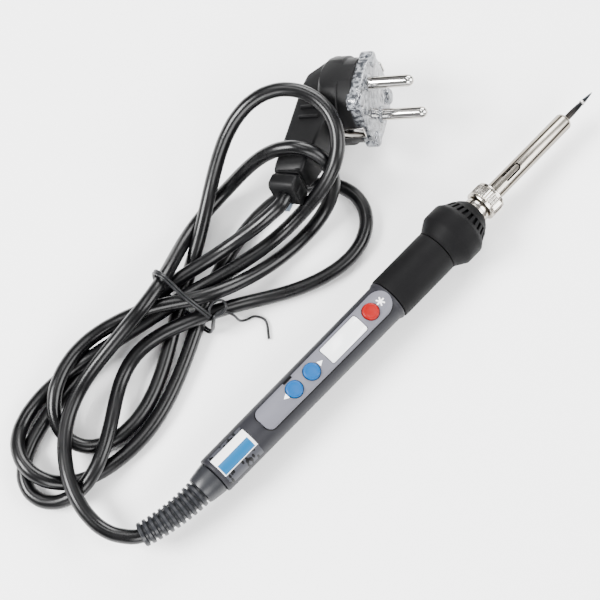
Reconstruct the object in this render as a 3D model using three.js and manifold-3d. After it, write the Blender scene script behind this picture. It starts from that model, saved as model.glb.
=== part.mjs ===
// Temperature-adjustable soldering iron with its mains lead and angled plug.
// Millimetres, +Z up. The iron lies along X with its tip towards +X and its panel facing +Z.
import * as THREE from 'three';
import { mergeVertices } from 'three/addons/utils/BufferGeometryUtils.js';
import Module from 'manifold-3d';

const wasm = await Module();
wasm.setup();

// ---------------------------------------------------------------- driving dimensions
// handle shell
const SHELL_LENGTH = 97.3;
const SHELL_REAR_RADIUS = 7.9;
const SHELL_FRONT_RADIUS = 8.35;
const SHELL_WALL = 1.4;
const SHELL_REAR_WALL = 1.8;
const LIP_LENGTH = 2;
const LIP_HEIGHT = 0.6;
const NECK_RADIUS = 7.1;
const NECK_LENGTH = 35.6;

// control panel
const PANEL_START = 25.6;
const PANEL_REAR_WIDTH = 9.6;
const PANEL_FRONT_WIDTH = 10.5;
const PANEL_REAR_CORNER = 3;
const PANEL_RISE = 0.9;
const PANEL_SKIN = 1.5;
const PANEL_SIDE = 1;
const PANEL_SEAT = 5.2;
const PANEL_END_WALL = 0.5;

// buttons, display and board
const BUTTON_RADIUS = 3.4;
const BUTTON_RISE = 0.9;
const BUTTON_TRAVEL = 0.7;
const DOWN_BUTTON_X = 43.8;
const UP_BUTTON_X = 53.4;
const RED_BUTTON_X = 86.5;
const DISPLAY_START = 61.6;
const DISPLAY_LENGTH = 19.4;
const DISPLAY_WIDTH = 7.7;
const BOARD_TOP = 2.8;
const BOARD_THICKNESS = 1.2;
const BOARD_START = 27;
const BOARD_LENGTH = 67;
const SWITCH_SIZE = 6;
const SWITCH_HEIGHT = 2.4;
const PLUNGER_RADIUS = 1.6;

// grip and heat collar
const GRIP_LENGTH = 28.3;
const GRIP_RADIUS = 9.3;
const COLLAR_LENGTH = 22.4;
const COLLAR_RADIUS = 12.4;
const COLLAR_NOSE_RADIUS = 5.75;
const SLOT_COUNT = 24;
const SLOT_WIDTH = 1.15;
const SLOT_DEPTH = 1.1;

// hot end
const FERRULE_RADIUS = 5.45;
const FERRULE_SHOWN = 2.9;
const FERRULE_BORE = 3.3;
const NUT_RADIUS = 6.7;
const NUT_LENGTH = 8.3;
const NUT_FRONT_WALL = 1.6;
const THREAD_RADIUS = 4.85;
const THREAD_LENGTH = 4.9;
const SLEEVE_RADIUS = 3.7;
const SLEEVE_WALL = 0.4;
const SLEEVE_SHOWN = 45;
const TONGUE_WIDTH = 2;
const TONGUE_CUT = 0.7;
const TIP_SHANK_RADIUS = 1.3;
const TIP_SHOWN = 16.6;
const HEATER_RADIUS = 1.9;

// strain relief and cord
const BOOT_COLLAR_LENGTH = 7.6;
const BOOT_COLLAR_REAR_RADIUS = 5.9;
const BOOT_COLLAR_FRONT_RADIUS = 7;
const BOOT_RIB_COUNT = 11;
const BOOT_RIB_PITCH = 2.5;
const BOOT_BEND = THREE.MathUtils.degToRad(20);
const BOOT_DROOP = THREE.MathUtils.degToRad(19);
const CORD_RADIUS = 2.9;
const CORD_SIDES = 10;
const CORD_STEPS = 90;
const INNER_CORD_STEPS = 14;
const TIE_RADIUS = 0.5;

// plug, in its own axes: +X is the cord exit, +Y the row of pins, +Z the way the pins point
const PLUG_FACE = new THREE.Vector3(42.6, 58.7, 24.6);
const PLUG_CORD_HEADING = THREE.MathUtils.degToRad(210);
const PLUG_CORD_RISE = THREE.MathUtils.degToRad(14);
const PLUG_PIN_RISE = THREE.MathUtils.degToRad(23);
const PLUG_RADIUS = 18;
const PLUG_DEPTH = 19;
const PLUG_BACK = 27;
const PLUG_TILT = THREE.MathUtils.degToRad(8);
const PLUG_INSERT_DEPTH = 4;
const PLUG_HANDLE_REACH = 40;
const PLUG_BOOT_LENGTH = 9;
const PIN_RADIUS = 2.4;
const PIN_LENGTH = 19;
const PIN_SPACING = 19;

// clearances
const FIT_GAP = 0.3;
const SEAT_GAP = 0.05;

// ---------------------------------------------------------------- derived stations along the iron
const GRIP_START = SHELL_LENGTH + FIT_GAP;
const GRIP_END = SHELL_LENGTH + GRIP_LENGTH;
const COLLAR_END = GRIP_END + COLLAR_LENGTH;
const NUT_START = COLLAR_END + FERRULE_SHOWN;
const NUT_END = NUT_START + NUT_LENGTH;
const SLEEVE_END = NUT_END + SLEEVE_SHOWN;
const IRON_LENGTH = SLEEVE_END + TIP_SHOWN;
const NECK_END = SHELL_LENGTH + NECK_LENGTH;
const PANEL_END = SHELL_LENGTH - FIT_GAP - PANEL_END_WALL;
const PANEL_TOP = SHELL_FRONT_RADIUS + PANEL_RISE;
const BORE_RADIUS = SHELL_REAR_RADIUS - SHELL_WALL;
const AXIS_HEIGHT = COLLAR_RADIUS;
const BUTTON_TOP = PANEL_TOP + BUTTON_RISE;

// ---------------------------------------------------------------- geometry helpers
// One closed, outward-facing, position-only geometry from any three.js geometry.
function closed(geometry) {
  const bare = geometry.clone();
  bare.deleteAttribute('normal');
  bare.deleteAttribute('uv');
  const merged = mergeVertices(bare, 1e-4);
  const position = merged.attributes.position;
  const index = merged.index.array;
  const a = new THREE.Vector3();
  const b = new THREE.Vector3();
  const c = new THREE.Vector3();
  const kept = [];
  let volume = 0;
  for (let i = 0; i < index.length; i += 3) {
    const [p, q, r] = [index[i], index[i + 1], index[i + 2]];
    if (p === q || q === r || r === p) continue;
    a.fromBufferAttribute(position, p);
    b.fromBufferAttribute(position, q);
    c.fromBufferAttribute(position, r);
    volume += a.dot(b.cross(c));
    kept.push(p, q, r);
  }
  merged.setIndex(volume < 0 ? kept.reverse() : kept);
  return merged;
}

function toSolid(geometry) {
  const body = closed(geometry);
  return new wasm.Manifold(new wasm.Mesh({
    numProp: 3,
    vertProperties: new Float32Array(body.attributes.position.array),
    triVerts: new Uint32Array(body.index.array),
  }));
}

function toGeometry(solid) {
  const mesh = solid.getMesh();
  const geometry = new THREE.BufferGeometry();
  geometry.setAttribute('position', new THREE.BufferAttribute(new Float32Array(mesh.vertProperties), 3));
  geometry.setIndex(Array.from(mesh.triVerts));
  return geometry;
}

function cut(base, ...tools) {
  return toGeometry(tools.reduce((solid, tool) => solid.subtract(toSolid(tool)), toSolid(base)));
}

function join(base, ...others) {
  return toGeometry(others.reduce((solid, other) => solid.add(toSolid(other)), toSolid(base)));
}

function common(base, other) {
  return toGeometry(toSolid(base).intersect(toSolid(other)));
}

// A turned piece about the X axis from [x, radius] points.
function turned(points, segments = 40) {
  const profile = points.map(([x, radius]) => new THREE.Vector2(radius, x));
  return closed(new THREE.LatheGeometry(profile, segments).rotateZ(-Math.PI / 2));
}

// A turned ring: the same with its profile closed on itself, so the piece has a bore.
function ring(points, segments = 40) {
  return turned([...points, points[0]], segments);
}

// A turned piece about the Z axis from [z, radius] points, with its centre at x, y.
function turnedUp(points, x, y, segments = 24) {
  const profile = points.map(([z, radius]) => new THREE.Vector2(radius, z));
  return closed(new THREE.LatheGeometry(profile, segments).rotateX(Math.PI / 2).translate(x, y, 0));
}

function post(radius, low, high, x, y, segments = 16) {
  return turnedUp([[low, 0], [low, radius], [high, radius], [high, 0]], x, y, segments);
}

function block(x0, x1, y0, y1, z0, z1) {
  const box = new THREE.BoxGeometry(x1 - x0, y1 - y0, z1 - z0);
  return box.translate((x0 + x1) / 2, (y0 + y1) / 2, (z0 + z1) / 2);
}

// A flat outline in the XY plane, raised from low to high.
function plate(shape, low, high, curveSegments = 6) {
  const solid = new THREE.ExtrudeGeometry(shape, { depth: high - low, bevelEnabled: false, curveSegments });
  return closed(solid.translate(0, 0, low));
}

function roundedRectangle(x0, x1, halfWidth, corner) {
  const shape = new THREE.Shape();
  shape.moveTo(x0 + corner, -halfWidth);
  shape.lineTo(x1 - corner, -halfWidth);
  shape.absarc(x1 - corner, -halfWidth + corner, corner, -Math.PI / 2, 0);
  shape.absarc(x1 - corner, halfWidth - corner, corner, 0, Math.PI / 2);
  shape.absarc(x0 + corner, halfWidth - corner, corner, Math.PI / 2, Math.PI);
  shape.absarc(x0 + corner, -halfWidth + corner, corner, Math.PI, Math.PI * 1.5);
  return shape;
}

// A round tube along a smooth curve through the points.
function tube(points, radius, sides, steps) {
  const section = new THREE.Shape();
  for (let i = 0; i < sides; i += 1) {
    const angle = (i / sides) * Math.PI * 2;
    const [u, v] = [radius * Math.cos(angle), radius * Math.sin(angle)];
    if (i === 0) section.moveTo(u, v);
    else section.lineTo(u, v);
  }
  const path = new THREE.CatmullRomCurve3(points.map((p) => new THREE.Vector3(...p)));
  return closed(new THREE.ExtrudeGeometry(section, { steps, bevelEnabled: false, extrudePath: path }));
}

// ---------------------------------------------------------------- materials and nodes
function finish(color, roughness, metalness = 0) {
  return new THREE.MeshStandardMaterial({ color, roughness, metalness });
}

const MATERIALS = {
  shell: finish('#5f6065', 0.42),
  panel: finish('#9a9aa2', 0.45),
  rubber: finish('#2e3036', 0.8),
  collar: finish('#26272c', 0.5),
  boot: finish('#6a6b70', 0.4),
  cord: finish('#17181c', 0.45),
  plug: finish('#26282b', 0.6),
  clear: finish('#e4e8ec', 0.1),
  tag: finish('#9fa9ae', 0.4),
  red: finish('#d8433c', 0.35),
  blue: finish('#3fa3ea', 0.3),
  window: finish('#f4f4f6', 0.15),
  nickel: finish('#c9c9cc', 0.25, 1),
  brass: finish('#c8a45a', 0.35, 1),
  tipPlating: finish('#8b8b8d', 0.35, 1),
  ceramic: finish('#ece8df', 0.6),
  board: finish('#1f6b3c', 0.5),
  blackPart: finish('#1c1c1e', 0.5),
  label: finish('#e9edf2', 0.4),
  liveWire: finish('#7a4a2a', 0.5),
  neutralWire: finish('#2a5fb0', 0.5),
  earthWire: finish('#7fae3a', 0.5),
  leadWire: finish('#e8e8e8', 0.5),
};

function node(parent, name, geometry, material) {
  const mesh = new THREE.Mesh(geometry, material);
  mesh.name = name;
  parent.add(mesh);
}

const iron = new THREE.Group();
iron.position.set(-IRON_LENGTH / 2, 0, AXIS_HEIGHT);

// ---------------------------------------------------------------- handle shell and control panel
function shellRadiusAt(x) {
  return SHELL_REAR_RADIUS + (SHELL_FRONT_RADIUS - SHELL_REAR_RADIUS) * (x / SHELL_LENGTH);
}

// The panel's outline, grown by a margin: round front end, rounded rear corners.
function panelOutline(margin) {
  const rear = PANEL_REAR_WIDTH / 2 + margin;
  const front = PANEL_FRONT_WIDTH / 2 + margin;
  const corner = PANEL_REAR_CORNER + margin;
  const start = PANEL_START - margin;
  const frontCentre = PANEL_END - PANEL_FRONT_WIDTH / 2;
  const shape = new THREE.Shape();
  shape.moveTo(start + corner, -rear);
  shape.lineTo(frontCentre, -front);
  shape.absarc(frontCentre, 0, front, -Math.PI / 2, Math.PI / 2);
  shape.lineTo(start + corner, rear);
  shape.absarc(start + corner, rear - corner, corner, Math.PI / 2, Math.PI);
  shape.absarc(start + corner, -rear + corner, corner, Math.PI, Math.PI * 1.5);
  return shape;
}

const BOOT_NECK_RADIUS = 4.9;
const CLAMP_X = 12;
const CLAMP_SCREW_Y = 3.6;
const CLAMP_LENGTH = 5;

function handleShell() {
  const chamfer = 0.8;
  const neckBore = NECK_RADIUS - SHELL_WALL;
  const lipStart = SHELL_LENGTH - LIP_LENGTH;
  const body = ring([
    [0, BOOT_NECK_RADIUS + FIT_GAP],
    [0, SHELL_REAR_RADIUS - chamfer],
    [chamfer, SHELL_REAR_RADIUS],
    [lipStart, shellRadiusAt(lipStart)],
    [lipStart + chamfer, shellRadiusAt(lipStart) + LIP_HEIGHT],
    [SHELL_LENGTH, SHELL_FRONT_RADIUS + LIP_HEIGHT],
    [SHELL_LENGTH, NECK_RADIUS],
    [NECK_END, NECK_RADIUS],
    [NECK_END, neckBore],
    [SHELL_LENGTH, neckBore],
    [SHELL_LENGTH - 2, BORE_RADIUS],
    [SHELL_REAR_WALL, BORE_RADIUS],
    [SHELL_REAR_WALL, BOOT_NECK_RADIUS + FIT_GAP],
  ], 44);
  const railTop = BOARD_TOP - BOARD_THICKNESS - SEAT_GAP;
  const wallY = BORE_RADIUS + 0.3;
  const rails = [-1, 1].map((side) => block(
    BOARD_START - 2, BOARD_START + BOARD_LENGTH - 4,
    side > 0 ? wallY - 2 : -wallY, side > 0 ? wallY : -wallY + 2,
    railTop - 1.2, railTop,
  ));
  const bosses = [-1, 1].map((side) => post(1.3, -6.2, -2.5, CLAMP_X, side * CLAMP_SCREW_Y, 12));
  const screwHoles = [-1, 1].map((side) => post(0.85, -5.2, -2, CLAMP_X, side * CLAMP_SCREW_Y, 12));
  const pocket = plate(panelOutline(FIT_GAP), PANEL_SEAT, PANEL_TOP + 4);
  return cut(join(body, ...rails, ...bosses), pocket, ...screwHoles);
}

function controlPanel() {
  const bottom = PANEL_SEAT + FIT_GAP;
  const top = turned([[PANEL_START - 1, 0], [PANEL_START - 1, PANEL_TOP], [PANEL_END + 1, PANEL_TOP],
    [PANEL_END + 1, 0]], 56);
  const skin = common(plate(panelOutline(0), bottom, PANEL_TOP + 1), top);
  const recessRadius = PANEL_TOP - PANEL_SKIN;
  const inside = turned([[PANEL_START - 1, 0], [PANEL_START - 1, recessRadius],
    [PANEL_END + 1, recessRadius], [PANEL_END + 1, 0]], 40);
  const recess = common(plate(panelOutline(-PANEL_SIDE), bottom - 1, recessRadius + 1), inside);
  const holes = [DOWN_BUTTON_X, UP_BUTTON_X, RED_BUTTON_X].map(
    (x) => post(BUTTON_RADIUS + FIT_GAP, bottom - 1, PANEL_TOP + 1, x, 0, 20),
  );
  const displayOpening = plate(roundedRectangle(
    DISPLAY_START - FIT_GAP, DISPLAY_START + DISPLAY_LENGTH + FIT_GAP, DISPLAY_WIDTH / 2 + FIT_GAP, 1.1,
  ), bottom - 1, PANEL_TOP + 1, 4);
  const pryNotch = block(42.4, 46.9, PANEL_REAR_WIDTH / 2 - 0.75, PANEL_REAR_WIDTH, 7.2, PANEL_TOP + 1);
  return cut(skin, recess, ...holes, displayOpening, pryNotch);
}

function ratingLabel() {
  const inner = shellRadiusAt(20) + SEAT_GAP * 2;
  const sweep = new THREE.Shape();
  const [from, to] = [THREE.MathUtils.degToRad(45), THREE.MathUtils.degToRad(145)];
  sweep.absarc(0, 0, inner + 0.2, from, to);
  sweep.absarc(0, 0, inner, to, from, true);
  const film = new THREE.ExtrudeGeometry(sweep, { depth: 17.7, bevelEnabled: false, curveSegments: 20 });
  return closed(film.rotateY(Math.PI / 2).rotateX(Math.PI / 2).translate(1.6, 0, 0));
}

node(iron, 'handle_shell', handleShell(), MATERIALS.shell);
node(iron, 'control_panel', controlPanel(), MATERIALS.panel);
node(iron, 'rating_label', ratingLabel(), MATERIALS.label);

// ---------------------------------------------------------------- buttons, switches, display, board
const SWITCH_TOP = BOARD_TOP + SEAT_GAP + SWITCH_HEIGHT;
const PLUNGER_TOP = SWITCH_TOP + BUTTON_TRAVEL + 0.1;
const FLANGE_LOW = PLUNGER_TOP + 0.2;

// A round cap with a retaining flange under the panel's skin.
// A button's flange is wider than its hole and still clears the panel's side walls.
function flangeRadius(x) {
  const share = (x - PANEL_START) / (PANEL_END - PANEL_START);
  const panelHalf = THREE.MathUtils.lerp(PANEL_REAR_WIDTH, PANEL_FRONT_WIDTH, share) / 2;
  return Math.min(BUTTON_RADIUS + 0.35, panelHalf - PANEL_SIDE - SEAT_GAP * 2);
}

function button(x) {
  const edge = 0.5;
  const flange = flangeRadius(x);
  return turnedUp([
    [FLANGE_LOW, 0],
    [FLANGE_LOW, flange],
    [FLANGE_LOW + 0.5, flange],
    [FLANGE_LOW + 0.5, BUTTON_RADIUS],
    [BUTTON_TOP - 0.35 - edge, BUTTON_RADIUS],
    [BUTTON_TOP - 0.35, BUTTON_RADIUS - edge * 0.6],
    [BUTTON_TOP - 0.1, BUTTON_RADIUS * 0.5],
    [BUTTON_TOP, 0],
  ], x, 0, 20);
}

function plunger(x) {
  return post(PLUNGER_RADIUS, PLUNGER_TOP - 1.6, PLUNGER_TOP, x, 0, 12);
}

function switchBody(x) {
  const half = SWITCH_SIZE / 2;
  const well = post(PLUNGER_RADIUS + FIT_GAP, SWITCH_TOP - 1.75, SWITCH_TOP + 1, x, 0, 12);
  return cut(block(x - half, x + half, -half, half, BOARD_TOP + SEAT_GAP, SWITCH_TOP), well);
}

const BUTTONS = [
  ['down', DOWN_BUTTON_X, MATERIALS.blue],
  ['up', UP_BUTTON_X, MATERIALS.blue],
  ['red', RED_BUTTON_X, MATERIALS.red],
];
for (const [name, x, material] of BUTTONS) {
  node(iron, `${name}_button`, button(x), material);
  node(iron, `${name}_plunger`, plunger(x), MATERIALS.blackPart);
  node(iron, `${name}_switch`, switchBody(x), MATERIALS.blackPart);
}

function displayWindow() {
  const low = PANEL_TOP - PANEL_SKIN - 0.6;
  const outline = roundedRectangle(DISPLAY_START, DISPLAY_START + DISPLAY_LENGTH, DISPLAY_WIDTH / 2, 0.8);
  const face = turned([[DISPLAY_START - 1, 0], [DISPLAY_START - 1, PANEL_TOP - 0.1],
    [DISPLAY_START + DISPLAY_LENGTH + 1, PANEL_TOP - 0.1], [DISPLAY_START + DISPLAY_LENGTH + 1, 0]], 72);
  return common(plate(outline, low, PANEL_TOP + 1, 4), face);
}

const DISPLAY_MODULE_TOP = PANEL_TOP - PANEL_SKIN - 1.2;
const PANEL_NARROWEST = Math.min(PANEL_REAR_WIDTH, PANEL_FRONT_WIDTH);
const DISPLAY_MODULE_HALF = PANEL_NARROWEST / 2 - PANEL_SIDE - FIT_GAP;
node(iron, 'display_window', displayWindow(), MATERIALS.window);
node(iron, 'display_module', block(
  DISPLAY_START - 0.4, DISPLAY_START + DISPLAY_LENGTH + 0.4, -DISPLAY_MODULE_HALF, DISPLAY_MODULE_HALF,
  BOARD_TOP + SEAT_GAP, DISPLAY_MODULE_TOP,
), MATERIALS.label);

const BOARD_HALF = Math.sqrt(BORE_RADIUS ** 2 - BOARD_TOP ** 2) - FIT_GAP;
const BOARD_LOW = BOARD_TOP - BOARD_THICKNESS;
node(iron, 'circuit_board', block(
  BOARD_START, BOARD_START + BOARD_LENGTH, -BOARD_HALF, BOARD_HALF, BOARD_LOW, BOARD_TOP,
), MATERIALS.board);
node(iron, 'film_capacitor', block(28, 39, -3, 3, BOARD_TOP + SEAT_GAP, BOARD_TOP + 3.4), MATERIALS.ceramic);
node(iron, 'triac', block(36, 46, -4, 4, BOARD_LOW - 3.2, BOARD_LOW - SEAT_GAP), MATERIALS.blackPart);
node(iron, 'microcontroller', block(70, 78, -3, 3, BOARD_LOW - 1.5, BOARD_LOW - SEAT_GAP),
  MATERIALS.blackPart);

// ---------------------------------------------------------------- grip and heat collar
node(iron, 'grip_sleeve', ring([
  [GRIP_START, NECK_RADIUS + FIT_GAP],
  [GRIP_START, GRIP_RADIUS - 0.5],
  [GRIP_START + 0.5, GRIP_RADIUS],
  [GRIP_END - FIT_GAP, GRIP_RADIUS],
  [GRIP_END - FIT_GAP, NECK_RADIUS + FIT_GAP],
], 48), MATERIALS.rubber);

const FERRULE_FLANGE_START = NECK_END + FIT_GAP;
const FERRULE_FLANGE = 3.2;
const COLLAR_STEP = FERRULE_FLANGE_START + FERRULE_FLANGE + FIT_GAP;

function heatCollar() {
  const slotStart = GRIP_END + 14.9;
  const body = ring([
    [GRIP_END, NECK_RADIUS + FIT_GAP],
    [GRIP_END, GRIP_RADIUS],
    [GRIP_END + 1.2, GRIP_RADIUS + 0.3],
    [GRIP_END + 5.2, COLLAR_RADIUS - 0.5],
    [GRIP_END + 6.2, COLLAR_RADIUS],
    [GRIP_END + 13.2, COLLAR_RADIUS],
    [GRIP_END + 15.4, COLLAR_RADIUS - 1.7],
    [GRIP_END + 18.3, COLLAR_RADIUS - 3.1],
    [GRIP_END + 18.9, COLLAR_RADIUS - 3.7],
    [GRIP_END + 20.6, COLLAR_RADIUS - 4.5],
    [GRIP_END + 21.9, COLLAR_RADIUS - 5.8],
    [COLLAR_END, COLLAR_NOSE_RADIUS + 0.5],
    [COLLAR_END, COLLAR_NOSE_RADIUS],
    [COLLAR_STEP, COLLAR_NOSE_RADIUS],
    [COLLAR_STEP, NECK_RADIUS + FIT_GAP],
  ], 36);
  const slots = Array.from({ length: SLOT_COUNT }, (unused, i) => {
    const slot = block(slotStart, slotStart + 3.3, -SLOT_WIDTH / 2, SLOT_WIDTH / 2,
      COLLAR_RADIUS - 3.3 - SLOT_DEPTH, COLLAR_RADIUS);
    return slot.rotateX((i / SLOT_COUNT) * Math.PI * 2);
  });
  return cut(body, ...slots);
}

node(iron, 'heat_collar', heatCollar(), MATERIALS.collar);

// ---------------------------------------------------------------- hot end
const THREAD_END = NUT_START + THREAD_LENGTH;
const SLEEVE_FLANGE_START = THREAD_END + FIT_GAP;
const NUT_WALL_START = NUT_END - NUT_FRONT_WALL;
const SLEEVE_BORE = SLEEVE_RADIUS - SLEEVE_WALL;
const TIP_BODY_RADIUS = SLEEVE_BORE - FIT_GAP;
const TIP_START = SLEEVE_END - 27;
const HEATER_END = SLEEVE_END - 8;
const NOSE_OPENING = TIP_SHANK_RADIUS + FIT_GAP;

node(iron, 'front_ferrule', ring([
  [FERRULE_FLANGE_START, FERRULE_BORE],
  [FERRULE_FLANGE_START, NECK_RADIUS - 0.3],
  [FERRULE_FLANGE_START + FERRULE_FLANGE, NECK_RADIUS - 0.3],
  [FERRULE_FLANGE_START + FERRULE_FLANGE, FERRULE_RADIUS],
  [NUT_START - 0.3, FERRULE_RADIUS],
  [NUT_START, FERRULE_RADIUS - 0.3],
  [NUT_START, THREAD_RADIUS],
  [THREAD_END, THREAD_RADIUS],
  [THREAD_END, FERRULE_BORE],
], 28), MATERIALS.nickel);

// The knurl is a ring of straight teeth between two plain rims.
function retainingNut() {
  const teeth = 28;
  const knurl = new THREE.Shape();
  for (let i = 0; i < teeth * 2; i += 1) {
    const angle = (i / (teeth * 2)) * Math.PI * 2;
    const radius = NUT_RADIUS - (i % 2 ? 0.35 : 0);
    const [u, v] = [radius * Math.cos(angle), radius * Math.sin(angle)];
    if (i === 0) knurl.moveTo(u, v);
    else knurl.lineTo(u, v);
  }
  const start = NUT_START + FIT_GAP;
  const band = new THREE.ExtrudeGeometry(knurl, { depth: NUT_LENGTH - FIT_GAP - 2.2, bevelEnabled: false });
  const barrel = closed(band.rotateY(Math.PI / 2).translate(start + 1.2, 0, 0));
  const core = turned([
    [start, 0],
    [start, NUT_RADIUS - 0.25],
    [start + 0.3, NUT_RADIUS],
    [start + 1, NUT_RADIUS],
    [start + 1.4, NUT_RADIUS - 0.6],
    [NUT_END - 1.2, NUT_RADIUS - 0.6],
    [NUT_END - 0.9, NUT_RADIUS - 0.2],
    [NUT_END - 0.4, NUT_RADIUS - 0.4],
    [NUT_END, NUT_RADIUS - 1.2],
    [NUT_END, 0],
  ], 28);
  const bore = turned([
    [start - 1, 0],
    [start - 1, THREAD_RADIUS + FIT_GAP],
    [NUT_WALL_START, THREAD_RADIUS + FIT_GAP],
    [NUT_WALL_START, SLEEVE_RADIUS + FIT_GAP],
    [NUT_END + 1, SLEEVE_RADIUS + FIT_GAP],
    [NUT_END + 1, 0],
  ], 28);
  return cut(join(core, barrel), bore);
}

// A thin tube with a rear flange and a rounded nose; a U-shaped cut leaves a spring tongue.
function tipSleeve() {
  const flangeEnd = NUT_WALL_START - FIT_GAP;
  const body = ring([
    [SLEEVE_FLANGE_START, SLEEVE_BORE],
    [SLEEVE_FLANGE_START, THREAD_RADIUS - 0.1],
    [flangeEnd, THREAD_RADIUS - 0.1],
    [flangeEnd, SLEEVE_RADIUS],
    [SLEEVE_END - 1.6, SLEEVE_RADIUS],
    [SLEEVE_END - 0.8, SLEEVE_RADIUS - 0.35],
    [SLEEVE_END - 0.25, SLEEVE_RADIUS - 1],
    [SLEEVE_END, SLEEVE_RADIUS - 1.7],
    [SLEEVE_END, NOSE_OPENING],
    [SLEEVE_END - 0.5, NOSE_OPENING],
    [SLEEVE_END - 0.75, SLEEVE_RADIUS - 1.4],
    [SLEEVE_END - 1.8, SLEEVE_BORE],
  ], 24);
  const inner = TONGUE_WIDTH / 2;
  const outer = inner + TONGUE_CUT;
  const [root, bend] = [NUT_END + 6.8, NUT_END + 13.9];
  const groove = new THREE.Shape();
  groove.moveTo(root, -outer);
  groove.lineTo(bend, -outer);
  groove.absarc(bend, 0, outer, -Math.PI / 2, Math.PI / 2);
  groove.lineTo(root, outer);
  groove.lineTo(root, inner);
  groove.lineTo(bend, inner);
  groove.absarc(bend, 0, inner, Math.PI / 2, -Math.PI / 2, true);
  groove.lineTo(root, -inner);
  return cut(body, plate(groove, SLEEVE_RADIUS - 1.6, SLEEVE_RADIUS + 1, 8));
}

function solderingTip() {
  const shoulder = SLEEVE_END - 2.2;
  return turned([
    [TIP_START, HEATER_RADIUS + FIT_GAP],
    [TIP_START, TIP_BODY_RADIUS],
    [shoulder, TIP_BODY_RADIUS],
    [shoulder + 0.4, TIP_SHANK_RADIUS],
    [SLEEVE_END + 9, TIP_SHANK_RADIUS - 0.35],
    [SLEEVE_END + 9.7, TIP_SHANK_RADIUS - 0.35],
    [SLEEVE_END + 9.7, TIP_SHANK_RADIUS - 0.15],
    [SLEEVE_END + 10.5, TIP_SHANK_RADIUS - 0.2],
    [IRON_LENGTH - 0.3, 0.22],
    [IRON_LENGTH, 0],
    [HEATER_END + 1, 0],
    [HEATER_END + 1, HEATER_RADIUS + FIT_GAP],
    [TIP_START, HEATER_RADIUS + FIT_GAP],
  ], 16);
}

const HEATER_START = NECK_END - 9;
node(iron, 'retaining_nut', retainingNut(), MATERIALS.nickel);
node(iron, 'tip_sleeve', tipSleeve(), MATERIALS.nickel);
node(iron, 'soldering_tip', solderingTip(), MATERIALS.tipPlating);
node(iron, 'ceramic_heater', turned([
  [HEATER_START, 0],
  [HEATER_START, FERRULE_BORE - FIT_GAP],
  [NUT_START - 2, FERRULE_BORE - FIT_GAP],
  [NUT_START - 2, HEATER_RADIUS],
  [HEATER_END, HEATER_RADIUS],
  [HEATER_END, 0],
], 20), MATERIALS.ceramic);

// ---------------------------------------------------------------- strain relief
const BOOT_FLEX_LENGTH = BOOT_RIB_COUNT * BOOT_RIB_PITCH;
const BOOT_BEND_RADIUS = BOOT_FLEX_LENGTH / BOOT_BEND;
const BOOT_BORE = CORD_RADIUS + 0.5;
const BOOT_SIDE = new THREE.Vector3(0, Math.cos(BOOT_DROOP), -Math.sin(BOOT_DROOP));

// Where a point of the straight boot goes when its flexible part is bent in an arc.
function bendWithBoot(point) {
  const along = -(point.x + FIT_GAP + BOOT_COLLAR_LENGTH);
  if (along <= 0) return point;
  const angle = Math.min(along, BOOT_FLEX_LENGTH) / BOOT_BEND_RADIUS;
  const beyond = Math.max(along - BOOT_FLEX_LENGTH, 0);
  const sideways = point.y * BOOT_SIDE.y + point.z * BOOT_SIDE.z;
  const reach = BOOT_BEND_RADIUS - sideways;
  const across = new THREE.Vector3(0, point.y, point.z).addScaledVector(BOOT_SIDE, -sideways);
  const moved = new THREE.Vector3(-FIT_GAP - BOOT_COLLAR_LENGTH, 0, 0);
  moved.x -= reach * Math.sin(angle) + beyond * Math.cos(angle);
  moved.addScaledVector(BOOT_SIDE, BOOT_BEND_RADIUS - reach * Math.cos(angle) + beyond * Math.sin(angle));
  return moved.add(across);
}

function strainReliefBoot() {
  const flangeStart = SHELL_REAR_WALL + FIT_GAP;
  const outline = [
    [flangeStart + 1.5, BOOT_BORE],
    [flangeStart + 1.5, BORE_RADIUS - FIT_GAP],
    [flangeStart, BORE_RADIUS - FIT_GAP],
    [flangeStart, BOOT_NECK_RADIUS],
    [-FIT_GAP, BOOT_NECK_RADIUS],
    [-FIT_GAP, BOOT_COLLAR_FRONT_RADIUS - 0.4],
    [-FIT_GAP - 0.4, BOOT_COLLAR_FRONT_RADIUS],
    [-FIT_GAP - BOOT_COLLAR_LENGTH, BOOT_COLLAR_REAR_RADIUS],
  ];
  for (let i = 0; i < BOOT_RIB_COUNT; i += 1) {
    const share = i / (BOOT_RIB_COUNT - 1);
    const start = -FIT_GAP - BOOT_COLLAR_LENGTH - i * BOOT_RIB_PITCH;
    const core = 4.7 - 0.5 * share;
    const rib = 5.6 - 0.7 * share;
    outline.push([start, core]);
    outline.push([start - 1.1, core]);
    outline.push([start - 1.2, rib]);
    outline.push([start - BOOT_RIB_PITCH, rib - 0.1]);
  }
  outline.push([-FIT_GAP - BOOT_COLLAR_LENGTH - BOOT_FLEX_LENGTH, BOOT_BORE]);
  for (let i = 4; i > 0; i -= 1) {
    outline.push([-FIT_GAP - BOOT_COLLAR_LENGTH - (i / 5) * BOOT_FLEX_LENGTH, BOOT_BORE]);
  }
  const body = ring(outline, 14);
  const position = body.attributes.position;
  for (let i = 0; i < position.count; i += 1) {
    const moved = bendWithBoot(new THREE.Vector3().fromBufferAttribute(position, i));
    position.setXYZ(i, moved.x, moved.y, moved.z);
  }
  return body;
}

node(iron, 'strain_relief_boot', strainReliefBoot(), MATERIALS.boot);

// ---------------------------------------------------------------- cord clamp and wiring in the handle
const CLAMP_LOW = CORD_RADIUS + 0.1;
const CLAMP_HIGH = CLAMP_LOW + 0.8;
const CORD_INNER_END = 18;

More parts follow.
